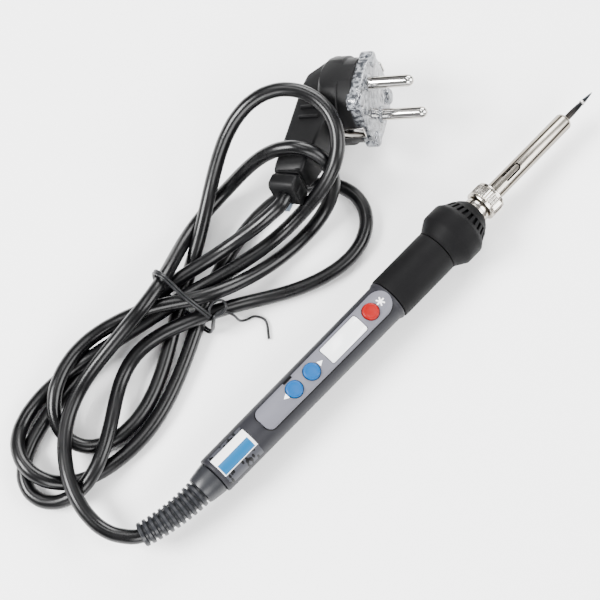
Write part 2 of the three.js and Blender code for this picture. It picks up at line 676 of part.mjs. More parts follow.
const clampBar = block(CLAMP_X - CLAMP_LENGTH / 2, CLAMP_X + CLAMP_LENGTH / 2, -4.9, 4.9,
  CLAMP_LOW, CLAMP_HIGH);
node(iron, 'cord_clamp', cut(
  clampBar,
  ...[-1, 1].map((side) => post(0.85, CLAMP_LOW - 1, CLAMP_HIGH + 1, CLAMP_X, side * CLAMP_SCREW_Y, 12)),
), MATERIALS.blackPart);
for (const [i, side] of [-1, 1].entries()) {
  const screw = turnedUp([
    [-5, 0],
    [-5, 0.6],
    [CLAMP_HIGH + SEAT_GAP, 0.6],
    [CLAMP_HIGH + SEAT_GAP, 1.1],
    [CLAMP_HIGH + 0.6, 1],
    [CLAMP_HIGH + 0.6, 0],
  ], CLAMP_X, side * CLAMP_SCREW_Y, 12);
  node(iron, `cord_clamp_screw_${i + 1}`, screw, MATERIALS.nickel);
}

const boardPad = BOARD_LOW - 0.9;
node(iron, 'live_wire', tube([[CORD_INNER_END + 0.3, 1.3, 0.6], [22, 2, 0.6], [26, 3, 0.6],
  [32, 3, boardPad]], 0.75, 8, 8), MATERIALS.liveWire);
node(iron, 'neutral_wire', tube([[CORD_INNER_END + 0.3, -1.3, 0.6], [22, -2, 0.6], [26, -3, 0.6],
  [32, -3, boardPad]], 0.75, 8, 8), MATERIALS.neutralWire);
node(iron, 'earth_wire', tube([[CORD_INNER_END + 0.3, 0, -1.5], [30, 0, -4], [60, 0, -4.5],
  [100, 0, -4.5], [FERRULE_FLANGE_START - 0.3, 0, -4.6]], 0.75, 8, 16), MATERIALS.earthWire);
for (const [i, side] of [-1, 1].entries()) {
  node(iron, `heater_lead_${i + 1}`, tube([[BOARD_START + BOARD_LENGTH - 3, side * 2.5, boardPad],
    [105, side * 2.2, 0.4], [118, side * 1.8, 0.2], [HEATER_START - 0.3, side * 1.6, 0]], 0.6, 8, 10),
  MATERIALS.leadWire);
}

// ---------------------------------------------------------------- cord
const BOOT_END = -FIT_GAP - BOOT_COLLAR_LENGTH - BOOT_FLEX_LENGTH;

// Points on the boot's bent centre line, from their places along the straight boot.
function bootLine(places) {
  return places.map((x) => bendWithBoot(new THREE.Vector3(x, 0, 0)).toArray());
}

// The cord's hidden start runs from the clamp through the boot's bore.
const innerStations = [CORD_INNER_END, 6, -4, -13, -21, -29, BOOT_END + FIT_GAP];
node(iron, 'cord_inner', tube(bootLine(innerStations), CORD_RADIUS, CORD_SIDES, INNER_CORD_STEPS),
  MATERIALS.cord);

// The free cord, in the row's own axes: the route as it lies, bundled in its tie.
function cordPoints() {
  const leaving = bootLine([BOOT_END - FIT_GAP, BOOT_END - 2.5])
    .map(([x, y, z]) => [x + iron.position.x, y, z + AXIS_HEIGHT]);
  const lying = [
    // out of the boot and up the outer edge to the tie
    [-152.4, 8.4, 10.2], [-154.5, 15.5, 9.8], [-154.6, 25, 10.6], [-151.4, 36.5, 13], [-142, 50.5, 10.5],
    [-132, 58.5, 10], [-118.5, 63.5, 11], [-105.5, 64, 15.5], [-92.5, 64.5, 19.5], [-80, 65, 22],
    [-69.5, 68, 19],
    // round the plug's handle and back to the tie
    [-58, 73.5, 11.5], [-46.5, 78.5, 5], [-34, 81, 3.1], [-22, 79.5, 9], [-12.5, 77, 20],
    [-5.5, 73, 29], [0.5, 67.5, 35.2], [5, 60, 37], [8, 51.7, 31.4], [6.6, 46.6, 20.5],
    [2, 45, 12], [-4, 44, 6.3], [-14, 44, 3.5], [-31.5, 45, 5], [-47, 47.5, 10.8],
    [-56.5, 49.5, 15],
    // the short inner loop at the strain relief's side
    [-64.5, 53, 16], [-73, 59.5, 16], [-80.5, 65.5, 15.6], [-90, 69.5, 13], [-99.5, 74, 10],
    [-110.5, 75, 10], [-121, 73, 10.5], [-131, 68.5, 9.5], [-136.5, 63, 8.5], [-139.5, 56, 4],
    [-139, 49, 3.1], [-135.5, 43.5, 3.1], [-129, 40, 3.1], [-119, 38.5, 3.1], [-109, 39.5, 3.1],
    [-98.5, 43.5, 3.1], [-89, 48.5, 3.1], [-79.5, 54, 3.4], [-70.5, 60, 4.1],
    // over the plug's back and down again
    [-61, 65, 3.6], [-53.5, 69, 5], [-45.5, 72.5, 8.5], [-36, 78.5, 10.5], [-25, 84.5, 17],
    [-12.5, 90, 27], [-2, 91.5, 34], [7, 90, 38.5], [14, 86, 40], [19, 80.5, 40.5],
    [21.5, 74, 40], [22.3, 66.5, 39.8], [20, 59.5, 39], [16, 53.5, 38], [11, 49.3, 36.5],
    [5, 47, 32.5], [-2, 46.8, 26], [-9.5, 48.2, 18.5], [-17.5, 49.3, 12.3], [-26, 50.5, 9],
    [-34, 52, 9], [-43, 53.5, 9.5],
    // the widest loop
    [-51, 55, 9.6], [-59.5, 58, 10], [-67.5, 60, 10], [-76, 61.5, 9.8], [-87, 64, 9.5],
    [-99.5, 66.5, 9.5], [-108, 68.5, 9], [-116, 71, 6.5], [-124.5, 73.5, 3.4], [-134.5, 73.5, 3.1],
    [-145, 71.5, 3.6], [-153.5, 67, 6], [-158, 58, 9], [-158.5, 50.5, 9.5], [-155.5, 44.5, 7],
    [-150, 39.5, 3.3], [-143, 35.5, 3.1], [-131, 33, 3.1], [-118, 32, 3.1], [-105, 34.5, 3.1],
    [-92, 39, 3.1], [-80, 44.5, 3.5], [-70.5, 49, 4.5],
    // the lowest loop, beside the iron
    [-63, 53, 4.1], [-49.5, 59, 3.1], [-35.5, 62.5, 3.1], [-21.5, 64.5, 3.1], [-10, 64, 3.1],
    [-0.5, 61.5, 3.1], [7, 57, 3.1], [12.5, 51, 3.1], [15, 43, 3.1], [13.5, 35, 3.1],
    [7.5, 28.5, 3.1], [-2, 24.5, 3.1], [-13, 24.5, 3.1], [-25.5, 28, 3.1], [-37.5, 33.5, 3.1],
    [-48.5, 40.5, 4.5], [-57.5, 44.5, 8.3],
    // the last loop at the strain relief's side
    [-65.5, 48, 10], [-74.5, 52, 9.8], [-85.5, 56.5, 9.4], [-96, 58.5, 7], [-106, 56, 5],
    [-115, 50, 7], [-123, 43.5, 9.5], [-131.5, 38.5, 9.5], [-139, 35, 10], [-147, 33, 8.5],
    [-154.5, 35, 3.8], [-161, 38.5, 3.1], [-164.5, 44.5, 3.1], [-164, 51.5, 3.1], [-159.5, 58, 3.1],
    [-152, 61.5, 3.1], [-144, 64, 3.1], [-137.5, 66, 3.1], [-129, 67, 3.1], [-117, 67.5, 3.1],
    [-102, 68.5, 3.1], [-88, 69, 3.4], [-76.5, 69.5, 6.5],
    // out of the tie and up to the plug
    [-69.5, 68.5, 9], [-62.5, 66.5, 9.5], [-54.5, 65, 9.5], [-46.5, 62.5, 10.5], [-38, 60, 14],
    [-29.5, 57, 20.5],
  ];
  const plugEnd = [8, FIT_GAP].map((x) => neckPoint(PLUG_REACH + x).toArray());
  return [...leaving, ...lying, ...plugEnd];
}

// ---------------------------------------------------------------- plug, in its own axes
const PLUG_REACH = PLUG_HANDLE_REACH + PLUG_BOOT_LENGTH;
const PLUG_NECK_Z = 6.6 - PLUG_BACK - 5 * Math.tan(PLUG_TILT);
const HEAD_FRONT = -PLUG_INSERT_DEPTH;

const plug = new THREE.Group();
{
  const away = (heading, rise) => new THREE.Vector3(
    Math.cos(rise) * Math.cos(heading), Math.cos(rise) * Math.sin(heading), Math.sin(rise),
  );
  const turn = Math.acos(-Math.tan(PLUG_PIN_RISE) * Math.tan(PLUG_CORD_RISE));
  const cordWay = away(PLUG_CORD_HEADING, PLUG_CORD_RISE);
  const pinWay = away(PLUG_CORD_HEADING + turn, PLUG_PIN_RISE);
  const rowWay = new THREE.Vector3().crossVectors(pinWay, cordWay);
  plug.quaternion.setFromRotationMatrix(new THREE.Matrix4().makeBasis(cordWay, rowWay, pinWay));
  plug.position.copy(PLUG_FACE);
  plug.updateMatrixWorld(true);
}

// A point on the handle's leaning centre line.
function neckPoint(x) {
  const local = new THREE.Vector3(x * Math.cos(PLUG_TILT), 0, PLUG_NECK_Z - x * Math.sin(PLUG_TILT));
  return local.applyMatrix4(plug.matrix);
}

function headRound(points, segments = 40) {
  return turnedUp(points, 0, 0, segments);
}

// The moulded handle leans back from the face: a tapered outline crossed with its side profile.
function plugHandle() {
  const outline = new THREE.Shape();
  outline.moveTo(-15, -11.5);
  outline.lineTo(2, -12.5);
  outline.lineTo(22, -8.8);
  outline.lineTo(PLUG_HANDLE_REACH - 3, -6.6);
  outline.lineTo(PLUG_HANDLE_REACH, -5.2);
  outline.lineTo(PLUG_HANDLE_REACH, 5.2);
  outline.lineTo(PLUG_HANDLE_REACH - 3, 6.6);
  outline.lineTo(22, 8.8);
  outline.lineTo(2, 12.5);
  outline.lineTo(-15, 11.5);
  const drop = Math.tan(PLUG_TILT) * (PLUG_HANDLE_REACH + 5);
  const profile = new THREE.Shape();
  profile.moveTo(-15, -17.5);
  profile.lineTo(-5, -PLUG_BACK);
  profile.lineTo(PLUG_HANDLE_REACH, -PLUG_BACK - drop);
  profile.lineTo(PLUG_HANDLE_REACH, -PLUG_BACK - drop + 12.6);
  profile.lineTo(12, -13.6);
  profile.lineTo(-15, -13.6);
  const side = new THREE.ExtrudeGeometry(profile, { depth: 30, bevelEnabled: false });
  const across = closed(side.translate(0, 0, -15).rotateX(Math.PI / 2));
  return common(plate(outline, -50, 0), across);
}

// Things on the handle's own line turn with it about the head's middle.
function alongNeck(geometry) {
  return geometry.rotateY(PLUG_TILT).translate(0, 0, PLUG_NECK_Z);
}

function plugBoot() {
  const outline = [[PLUG_HANDLE_REACH - 2, 0], [PLUG_HANDLE_REACH - 2, 5.6]];
  const ribs = 3;
  for (let i = 0; i < ribs; i += 1) {
    const start = PLUG_HANDLE_REACH + 0.6 + i * 2.8;
    const radius = 6 - i * 0.35;
    outline.push([start, radius]);
    outline.push([start + 1.6, radius]);
    outline.push([start + 1.7, radius - 1.2]);
    outline.push([start + 2.7, radius - 1.2]);
  }
  outline.push([PLUG_REACH, 4.2], [PLUG_REACH, 0]);
  return alongNeck(turned(outline, 16));
}

function plugBody() {
  const head = headRound([
    [-PLUG_DEPTH, 0],
    [-PLUG_DEPTH, PLUG_RADIUS - 3.5],
    [-PLUG_DEPTH + 2.5, PLUG_RADIUS - 0.6],
    [-PLUG_DEPTH + 3.5, PLUG_RADIUS],
    [HEAD_FRONT - FIT_GAP, PLUG_RADIUS],
    [HEAD_FRONT - FIT_GAP, 0],
  ]);
  const guides = [-1, 1].map((side) => block(-2.6, 2.6, side > 0 ? PLUG_RADIUS - 2 : -PLUG_RADIUS - 2,
    side > 0 ? PLUG_RADIUS + 2 : -PLUG_RADIUS + 2, -PLUG_DEPTH + 5, 1));
  const clips = [-1, 1].map((side) => block(side > 0 ? PLUG_RADIUS - 1.6 : -PLUG_RADIUS - 2,
    side > 0 ? PLUG_RADIUS + 2 : -PLUG_RADIUS + 1.6, -3, 3, -PLUG_DEPTH + 6.5, 1));
  const pinWells = [-1, 1].map((side) => post(PIN_RADIUS + FIT_GAP, -12.5, 1, 0, (side * PIN_SPACING) / 2));
  const cordWell = alongNeck(turned([[PLUG_REACH - 6, 0], [PLUG_REACH - 6, CORD_RADIUS + FIT_GAP],
    [PLUG_REACH + 2, CORD_RADIUS + FIT_GAP], [PLUG_REACH + 2, 0]], 12));
  return cut(join(head, plugHandle(), plugBoot()), ...guides, ...clips, ...pinWells, cordWell);
}

function plugInsert() {
  const face = headRound([
    [HEAD_FRONT, 0],
    [HEAD_FRONT, PLUG_RADIUS - 0.6],
    [-0.6, PLUG_RADIUS - 0.6],
    [0, PLUG_RADIUS - 1.2],
    [0, 0],
  ]);
  const guides = [-1, 1].map((side) => block(-2.6, 2.6, side > 0 ? PLUG_RADIUS - 2 : -PLUG_RADIUS - 2,
    side > 0 ? PLUG_RADIUS + 2 : -PLUG_RADIUS + 2, -8, 1));
  const clips = [-1, 1].map((side) => block(side > 0 ? PLUG_RADIUS - 1.6 : -PLUG_RADIUS - 2,
    side > 0 ? PLUG_RADIUS + 2 : -PLUG_RADIUS + 1.6, -3, 3, -8, 1));
  const pinHoles = [-1, 1].map((side) => post(PIN_RADIUS + FIT_GAP, -8, 2, 0, (side * PIN_SPACING) / 2));
  const sides = [-1, 1].map((side) => block(side > 0 ? 6.5 : -13.5, side > 0 ? 13.5 : -6.5, -7, 7, -2.2, 1));
  return cut(face, ...guides, ...clips, ...pinHoles, ...sides);
}

function pin(side) {
  const round = Array.from({ length: 5 }, (unused, i) => {
    const angle = ((i + 1) / 5) * Math.PI / 2;
    return [PIN_LENGTH - PIN_RADIUS * (1 - Math.sin(angle)), PIN_RADIUS * Math.cos(angle)];
  });
  const shaft = [[-12, 0], [-12, PIN_RADIUS], [PIN_LENGTH - PIN_RADIUS, PIN_RADIUS], ...round];
  shaft[shaft.length - 1][1] = 0;
  return turnedUp(shaft, 0, (side * PIN_SPACING) / 2, 16);
}

function earthClip(side) {
  const x = side * (PLUG_RADIUS - 1);
  return block(x - 0.4, x + 0.4, -2.6, 2.6, -PLUG_DEPTH + 7, -0.6);
}

node(plug, 'plug_body', plugBody(), MATERIALS.plug);
node(plug, 'plug_insert', plugInsert(), MATERIALS.clear);
node(plug, 'plug_pin_1', pin(-1), MATERIALS.nickel);
node(plug, 'plug_pin_2', pin(1), MATERIALS.nickel);
node(plug, 'earth_clip_1', earthClip(-1), MATERIALS.nickel);
node(plug, 'earth_clip_2', earthClip(1), MATERIALS.nickel);
node(plug, 'plug_tag', alongNeck(block(PLUG_REACH - 8, PLUG_REACH + 2, 6.3, 7.2, -5, 0.5)), MATERIALS.tag);

// ---------------------------------------------------------------- the cord, its tie and the whole object
const object = new THREE.Group();
object.add(iron, plug);
node(object, 'cord', tube(cordPoints(), CORD_RADIUS, CORD_SIDES, CORD_STEPS), MATERIALS.cord);
node(object, 'cord_tie', tube([
  [-67, 45.4, 13.6], [-68.4, 50.8, 18], [-69.4, 57, 21], [-69.6, 62.5, 22.2], [-69.8, 68, 23.4],
  [-70, 72.4, 20], [-70, 73, 9.5], [-69.9, 70, 3.6], [-69.8, 63, 0.75], [-69.6, 52.5, 0.75],
  [-69.2, 45.4, 0.7], [-68.4, 43.4, 4], [-67.4, 43.6, 9.4], [-65.2, 44.4, 13.2],
  [-61.5, 43.5, 13], [-59, 40.5, 10], [-57.6, 38.5, 4], [-55, 37.4, 0.8], [-51.5, 36, 0.6],
  [-50, 31.5, 0.6], [-54.5, 25.5, 0.6],
], TIE_RADIUS, 6, 48), MATERIALS.cord);

export default object;
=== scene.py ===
"""A temperature controlled soldering iron, its bundled mains lead and its angled plug.

Every piece is built round the fixed frame, in metres. The iron lies along X with its tip
towards +X and its control panel facing +Z; the lead lies on its +Y side.
"""

import math

import bmesh
import bpy
from bpy.props import FloatProperty, FloatVectorProperty, IntProperty, PointerProperty
from mathutils import Matrix, Vector


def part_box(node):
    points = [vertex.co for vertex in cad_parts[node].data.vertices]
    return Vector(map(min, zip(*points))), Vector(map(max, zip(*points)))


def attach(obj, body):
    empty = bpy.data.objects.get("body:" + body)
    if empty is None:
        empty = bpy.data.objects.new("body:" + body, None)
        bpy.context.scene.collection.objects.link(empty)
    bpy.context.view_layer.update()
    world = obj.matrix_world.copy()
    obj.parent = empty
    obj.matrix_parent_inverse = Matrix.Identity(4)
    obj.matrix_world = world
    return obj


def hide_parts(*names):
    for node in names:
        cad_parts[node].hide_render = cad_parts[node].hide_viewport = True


bl_info = {
    "name": "Soldering Iron Builder",
    "version": (1, 0, 0),
    "blender": (4, 5, 0),
    "location": "3D View > Sidebar > Iron",
    "description": "Builds a soldering iron with its bundled lead and plug",
    "category": "Add Mesh",
}

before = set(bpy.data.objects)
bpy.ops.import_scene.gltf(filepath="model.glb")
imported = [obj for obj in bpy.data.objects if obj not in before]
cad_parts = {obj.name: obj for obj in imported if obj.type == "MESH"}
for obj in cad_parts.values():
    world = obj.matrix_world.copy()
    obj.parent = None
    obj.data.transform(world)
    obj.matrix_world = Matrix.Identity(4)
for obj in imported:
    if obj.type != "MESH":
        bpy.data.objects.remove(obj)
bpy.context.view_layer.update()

MM = 0.001
FULL_TURN = 2 * math.pi
REAR_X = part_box("handle_shell")[0].x
AXIS_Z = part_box("heat_collar")[1].z / 2
TIP_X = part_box("soldering_tip")[1].x

# stations along the iron, in millimetres from the rear face of the handle shell
SHELL_END = 97.3
GRIP_START = 97.6
GRIP_END = 125.6
COLLAR_END = 148.0
SHELL_REAR_RADIUS = 7.9
SHELL_FLARE = 0.45
PANEL_REAR_HALF = 4.8
PANEL_CORNER = 3.0
NUT_START = 150.9
NUT_END = 159.2
IRON_LENGTH = (TIP_X - REAR_X) / MM

# the bent strain relief
BOOT_GAP = 0.3
BOOT_COLLAR = 7.6
BOOT_RIBS = 11
BOOT_PITCH = 2.5
BOOT_FLEX = BOOT_RIBS * BOOT_PITCH
BOOT_BEND = math.radians(20)
BOOT_DROOP = math.radians(19)
BOOT_BEND_RADIUS = BOOT_FLEX / BOOT_BEND
BOOT_SIDE = Vector((0, math.cos(BOOT_DROOP), -math.sin(BOOT_DROOP)))

# the plug stands on its own axes: X is the cord exit, Y the row of pins, Z the way the pins point
PLUG_FACE = Vector((42.6, 58.7, 24.6))
PLUG_HEADING = math.radians(210)
PLUG_CORD_RISE = math.radians(14)
PLUG_PIN_RISE = math.radians(23)
PLUG_REACH = 49.0
PLUG_BACK = 27.0
PLUG_TILT = math.radians(8)
PLUG_NECK_Z = 6.6 - PLUG_BACK - 5 * math.tan(PLUG_TILT)


# ---------------------------------------------------------------- sizes and colours a user may change
def linear(code):
    """An sRGB hex colour as linear red, green, blue and alpha."""
    values = [int(code[i : i + 2], 16) / 255 for i in (1, 3, 5)]
    return [v / 12.92 if v <= 0.04045 else ((v + 0.055) / 1.055) ** 2.4 for v in values] + [1.0]


def length(name, description, millimetres):
    return FloatProperty(
        name=name, description=description, default=millimetres * MM, unit="LENGTH", precision=5
    )


def colour(name, description, code):
    return FloatVectorProperty(
        name=name, description=description, default=linear(code), size=4, subtype="COLOR", min=0, max=1
    )


class IronSizes(bpy.types.PropertyGroup):
    key_radius: length("Key radius", "Radius of the round keys", 3.4)
    edge: length("Edge", "Rounding of moulded edges", 0.25)
    slots: IntProperty(name="Slots", description="Cooling slots round the heat collar", default=24)
    knurls: IntProperty(name="Knurls", description="Ridges round the retaining nut", default=36)


class CordSizes(bpy.types.PropertyGroup):
    diameter: length("Diameter", "Diameter of the mains lead", 5.8)
    spacing: length("Spacing", "Distance between the points of the lead's line", 8)
    tie: length("Tie", "Diameter of one wire of the tie", 1.05)


class Colours(bpy.types.PropertyGroup):
    shell: colour("Shell", "Dark grey moulded handle", "#202024")
    panel: colour("Panel", "Silver grey control panel", "#5E5E66")
    grip: colour("Grip", "Black soft grip", "#060607")
    collar: colour("Collar", "Black heat collar", "#050506")
    boot: colour("Boot", "Grey black strain relief", "#1E1F22")
    sheath: colour("Sheath", "Black lead", "#030304")
    plug: colour("Plug", "Black plug", "#050506")
    key_blue: colour("Blue key", "Light blue keys", "#00467C")
    key_red: colour("Red key", "Red key", "#800605")
    label_blue: colour("Label blue", "Blue band of the label", "#00507C")


class StageSettings(bpy.types.PropertyGroup):
    floor: colour("Floor", "Pale floor", "#FFFFFF")
    lens: FloatProperty(name="Lens", description="Focal length in millimetres", default=100.0)
    distance: length("Distance", "From the camera to the point it looks at", 667.065)
    azimuth: FloatProperty(
        name="Azimuth",
        description="Angle of the camera round the object",
        default=math.radians(-46.521),
        subtype="ANGLE",
    )
    elevation: FloatProperty(
        name="Elevation",
        description="Angle of the camera above the floor",
        default=math.radians(71.5),
        subtype="ANGLE",
    )


# ---------------------------------------------------------------- mesh helpers
def along(station, radius=0.0, angle=0.0):
    """A point of the iron: a station in millimetres, and a radius turned from up towards +Y."""
    return Vector((
        REAR_X + station * MM,
        radius * math.sin(angle) * MM,
        AXIS_Z + radius * math.cos(angle) * MM,
    ))


def outline_edges(bm, points, loop=True):
    verts = [bm.verts.new(p) for p in points]
    pairs = list(zip(verts, verts[1:]))
    if loop:
        pairs.append((verts[-1], verts[0]))
    return [bm.edges.new(pair) for pair in pairs]


def spun(profile, centre, axis, steps, loop=True):
    """A turned solid: the profile's points are swept a full turn about an axis."""
    bm = bmesh.new()
    edges = outline_edges(bm, profile, loop)
    geom = edges + list(bm.verts)
    bmesh.ops.spin(
        bm, geom=geom, cent=centre, axis=axis, angle=FULL_TURN, steps=steps, use_merge=True
    )
    bmesh.ops.remove_doubles(bm, verts=bm.verts, dist=1e-6)
    bmesh.ops.recalc_face_normals(bm, faces=bm.faces)
    return bm


def turned(stations, steps=96, loop=True):
    """A piece turned about the iron's axis, from (station, radius) pairs in millimetres."""
    profile = [along(x, r) for x, r in stations]
    return spun(profile, along(0), (1, 0, 0), steps, loop)


def sharp_edges(bm, angle):
    return [e for e in bm.edges if len(e.link_faces) == 2 and e.calc_face_angle(0) > angle]


def round_edges(bm, offset, angle=math.radians(35), segments=2):
    bmesh.ops.bevel(
        bm,
        geom=sharp_edges(bm, angle),
        affect="EDGES",
        offset=offset,
        offset_type="OFFSET",
        segments=segments,
        profile=0.5,
        clamp_overlap=True,
        material=-1,
    )


def place(bm, matrix):
    bmesh.ops.transform(bm, matrix=matrix, verts=bm.verts)


def piece(bm, name, material, body, replaced=(), crease=math.radians(38)):
    """Finishes a bmesh as a smooth piece that rides on a body and stands for CAD nodes."""
    for face in bm.faces:
        face.smooth = True
    for edge in bm.edges:
        edge.smooth = edge.calc_face_angle(0) < crease
    mesh = bpy.data.meshes.new(name)
    bm.to_mesh(mesh)
    bm.free()
    made = bpy.data.objects.new(name, mesh)
    bpy.context.scene.collection.objects.link(made)
    for each in material if isinstance(material, list) else [material]:
        mesh.materials.append(each)
    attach(made, body)
    if replaced:
        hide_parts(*replaced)
    return made


def copy_of_node(name):
    """A merged copy of a CAD node, with its flat triangles joined again."""
    bm = bmesh.new()
    bm.from_mesh(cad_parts[name].data)
    bmesh.ops.remove_doubles(bm, verts=bm.verts, dist=2e-6)
    bmesh.ops.dissolve_limit(
        bm, angle_limit=math.radians(0.6), verts=bm.verts, edges=bm.edges, delimit={"NORMAL"}
    )
    return bm


def block(low, high):
    """A box between two corners, in millimetres."""
    bm = bmesh.new()
    size = [(b - a) * MM for a, b in zip(low, high)]
    centre = [(a + b) / 2 * MM for a, b in zip(low, high)]
    bmesh.ops.create_cube(bm, size=1, matrix=Matrix.Translation(centre) @ Matrix.Diagonal((*size, 1)))
    return bm


def merged(*parts):
    """Several bmeshes as one, each keeping its own closed shell."""
    whole = bmesh.new()
    holder = bpy.data.meshes.new("holder")
    for part in parts:
        part.to_mesh(holder)
        whole.from_mesh(holder)
        part.free()
    bpy.data.meshes.remove(holder)
    return whole


def slab(points, low, high):
    """A closed plate: a flat outline of (x, y) points in millimetres, raised from low to high."""
    bm = bmesh.new()
    outline_edges(bm, [(x * MM, y * MM, low * MM) for x, y in points])
    made = bmesh.ops.contextual_create(bm, geom=list(bm.edges))
    grown = bmesh.ops.extrude_face_region(bm, geom=made["faces"])
    top = [v for v in grown["geom"] if isinstance(v, bmesh.types.BMVert)]
    bmesh.ops.translate(bm, vec=(0, 0, (high - low) * MM), verts=top)
    bmesh.ops.recalc_face_normals(bm, faces=bm.faces)
    return bm


# ---------------------------------------------------------------- material helpers
def add(tree, kind, settings=None, links=None):
    """Adds a node, sets its properties or sockets, and links other nodes' outputs to its inputs."""
    node = tree.nodes.new(kind)
    for key, value in (settings or {}).items():
        if isinstance(key, str) and hasattr(node, key):
            setattr(node, key, value)
        else:
            node.inputs[key].default_value = value
    for key, output in (links or {}).items():
        tree.links.new(output, node.inputs[key])
    return node


def finish_named(name, base, roughness, **sockets):
    """A material with a principled shader; sockets are that shader's constants."""
    material = bpy.data.materials.new(name)
    material.use_nodes = True
    material.diffuse_color = base
    tree = material.node_tree
    tree.nodes.clear()
    settings = {"Base Color": base, "Roughness": roughness}
    settings.update({key.replace("_", " "): value for key, value in sockets.items()})
    shader = add(tree, "ShaderNodeBsdfPrincipled", settings)
    add(tree, "ShaderNodeOutputMaterial", None, {"Surface": shader.outputs["BSDF"]})
    return material, tree, shader


def grained(tree, shader, grain_mm, depth_mm, base, spread=0.06, rough=(0.4, 0.55), stretch=None):
    """Fine relief, and a slow drift of tone and gloss, as on a moulded or drawn surface."""
    place_node = add(tree, "ShaderNodeTexCoord")
    vector = place_node.outputs["Object"]
    if stretch:
        vector = add(
            tree, "ShaderNodeMapping", {"Scale": stretch}, {"Vector": vector}
        ).outputs["Vector"]
    grain = add(
        tree,
        "ShaderNodeTexNoise",
        {"Scale": 1 / (grain_mm * MM), "Detail": 3.0, "Roughness": 0.6},
        {"Vector": vector},
    )
    drift = add(
        tree, "ShaderNodeTexNoise", {"Scale": 90.0, "Detail": 2.0}, {"Vector": vector}
    )
    darker = [c * (1 - spread) for c in base[:3]] + [1]
    lighter = [min(c * (1 + spread), 1) for c in base[:3]] + [1]
    tone = add(
        tree,
        "ShaderNodeMix",
        {"data_type": "RGBA", 6: darker, 7: lighter},
        {0: drift.outputs["Fac"]},
    )
    gloss = add(
        tree,
        "ShaderNodeMapRange",
        {"From Min": 0.3, "From Max": 0.7, "To Min": rough[0], "To Max": rough[1]},
        {"Value": drift.outputs["Fac"]},
    )
    relief = add(
        tree,
        "ShaderNodeBump",
        {"Strength": 0.6, "Distance": depth_mm * MM},
        {"Height": grain.outputs["Fac"]},
    )
    tree.links.new(tone.outputs[2], shader.inputs["Base Color"])
    tree.links.new(gloss.outputs["Result"], shader.inputs["Roughness"])
    tree.links.new(relief.outputs["Normal"], shader.inputs["Normal"])
    return tone, gloss, relief


def moulded_abs(name, base, grain_mm=0.35, rough=(0.42, 0.52)):
    """ABS moulded in a spark-eroded tool: an even satin skin with a very fine grain."""
    material, tree, shader = finish_named(name, base, 0.45, IOR=1.53, Specular_IOR_Level=0.16)
    grained(tree, shader, grain_mm, 0.02, base, 0.05, rough)
    return material


def soft_grip(name, base):
    """Overmoulded thermoplastic rubber: dull, with a faint sheen at grazing angles."""
    material, tree, shader = finish_named(name, base, 0.7, IOR=1.51, Specular_IOR_Level=0.1)
    grained(tree, shader, 0.5, 0.04, base, 0.12, (0.55, 0.72))
    return material


def extruded_pvc(name, base, rough=(0.24, 0.34)):
    """Plasticised PVC drawn through a die: glossy black with soft long highlights."""
    material, tree, shader = finish_named(name, base, 0.28, IOR=1.54, Specular_IOR_Level=0.28)
    grained(tree, shader, 0.8, 0.015, base, 0.1, rough)
    return material


def painted_reflection(tree, shader, tone):
    """Painted reflection: paints in, by viewing angle, the dark band and dark edges that polished metal
    would mirror, multiplied into its colour.
    """
    # painted reflection: the ramp on Facing darkens the colour in a band and towards the edges
    turned_away = add(tree, "ShaderNodeLayerWeight", {"Blend": 0.5})
    ramp = add(tree, "ShaderNodeValToRGB", None, {"Fac": turned_away.outputs["Facing"]})
    ramp.color_ramp.elements[0].color = linear("#FFFFFF")
    ramp.color_ramp.elements[1].color = linear("#2A2725")
    for position, code in ((0.24, "#FFFFFF"), (0.31, "#3E3A36"), (0.37, "#3E3A36"),
                           (0.45, "#F4F1EC"), (0.72, "#CFCBC6")):
        ramp.color_ramp.elements.new(position).color = linear(code)
    reflection_painted_colour = add(
        tree, "ShaderNodeMix", {"data_type": "RGBA", "blend_type": "MULTIPLY", 0: 1.0},
        {6: tone.outputs[2], 7: ramp.outputs["Color"]},
    )
    tree.links.new(reflection_painted_colour.outputs[2], shader.inputs["Base Color"])


def nickel_plate(name, base, rough=(0.16, 0.28)):
    """Nickel plated over turned brass: bright and warm, with faint turning rings, and a painted reflection
    by viewing angle.
    """
    material, tree, shader = finish_named(name, base, 0.2, Metallic=1.0)
    tone = grained(tree, shader, 0.12, 0.004, base, 0.05, rough, (6, 1, 1))[0]
    # painted reflection: a dark band and dark edges by viewing angle
    painted_reflection(tree, shader, tone)
    return material


def drawn_steel(name, base):
    """Stainless tube pulled through a die: fine streaks run along it, and a painted reflection by viewing
    angle.
    """
    material, tree, shader = finish_named(name, base, 0.28, Metallic=1.0)
    tone = grained(tree, shader, 0.25, 0.006, base, 0.08, (0.2, 0.36), (0.08, 1, 1))[0]
    # painted reflection: a dark band and dark edges by viewing angle
    painted_reflection(tree, shader, tone)
    return material


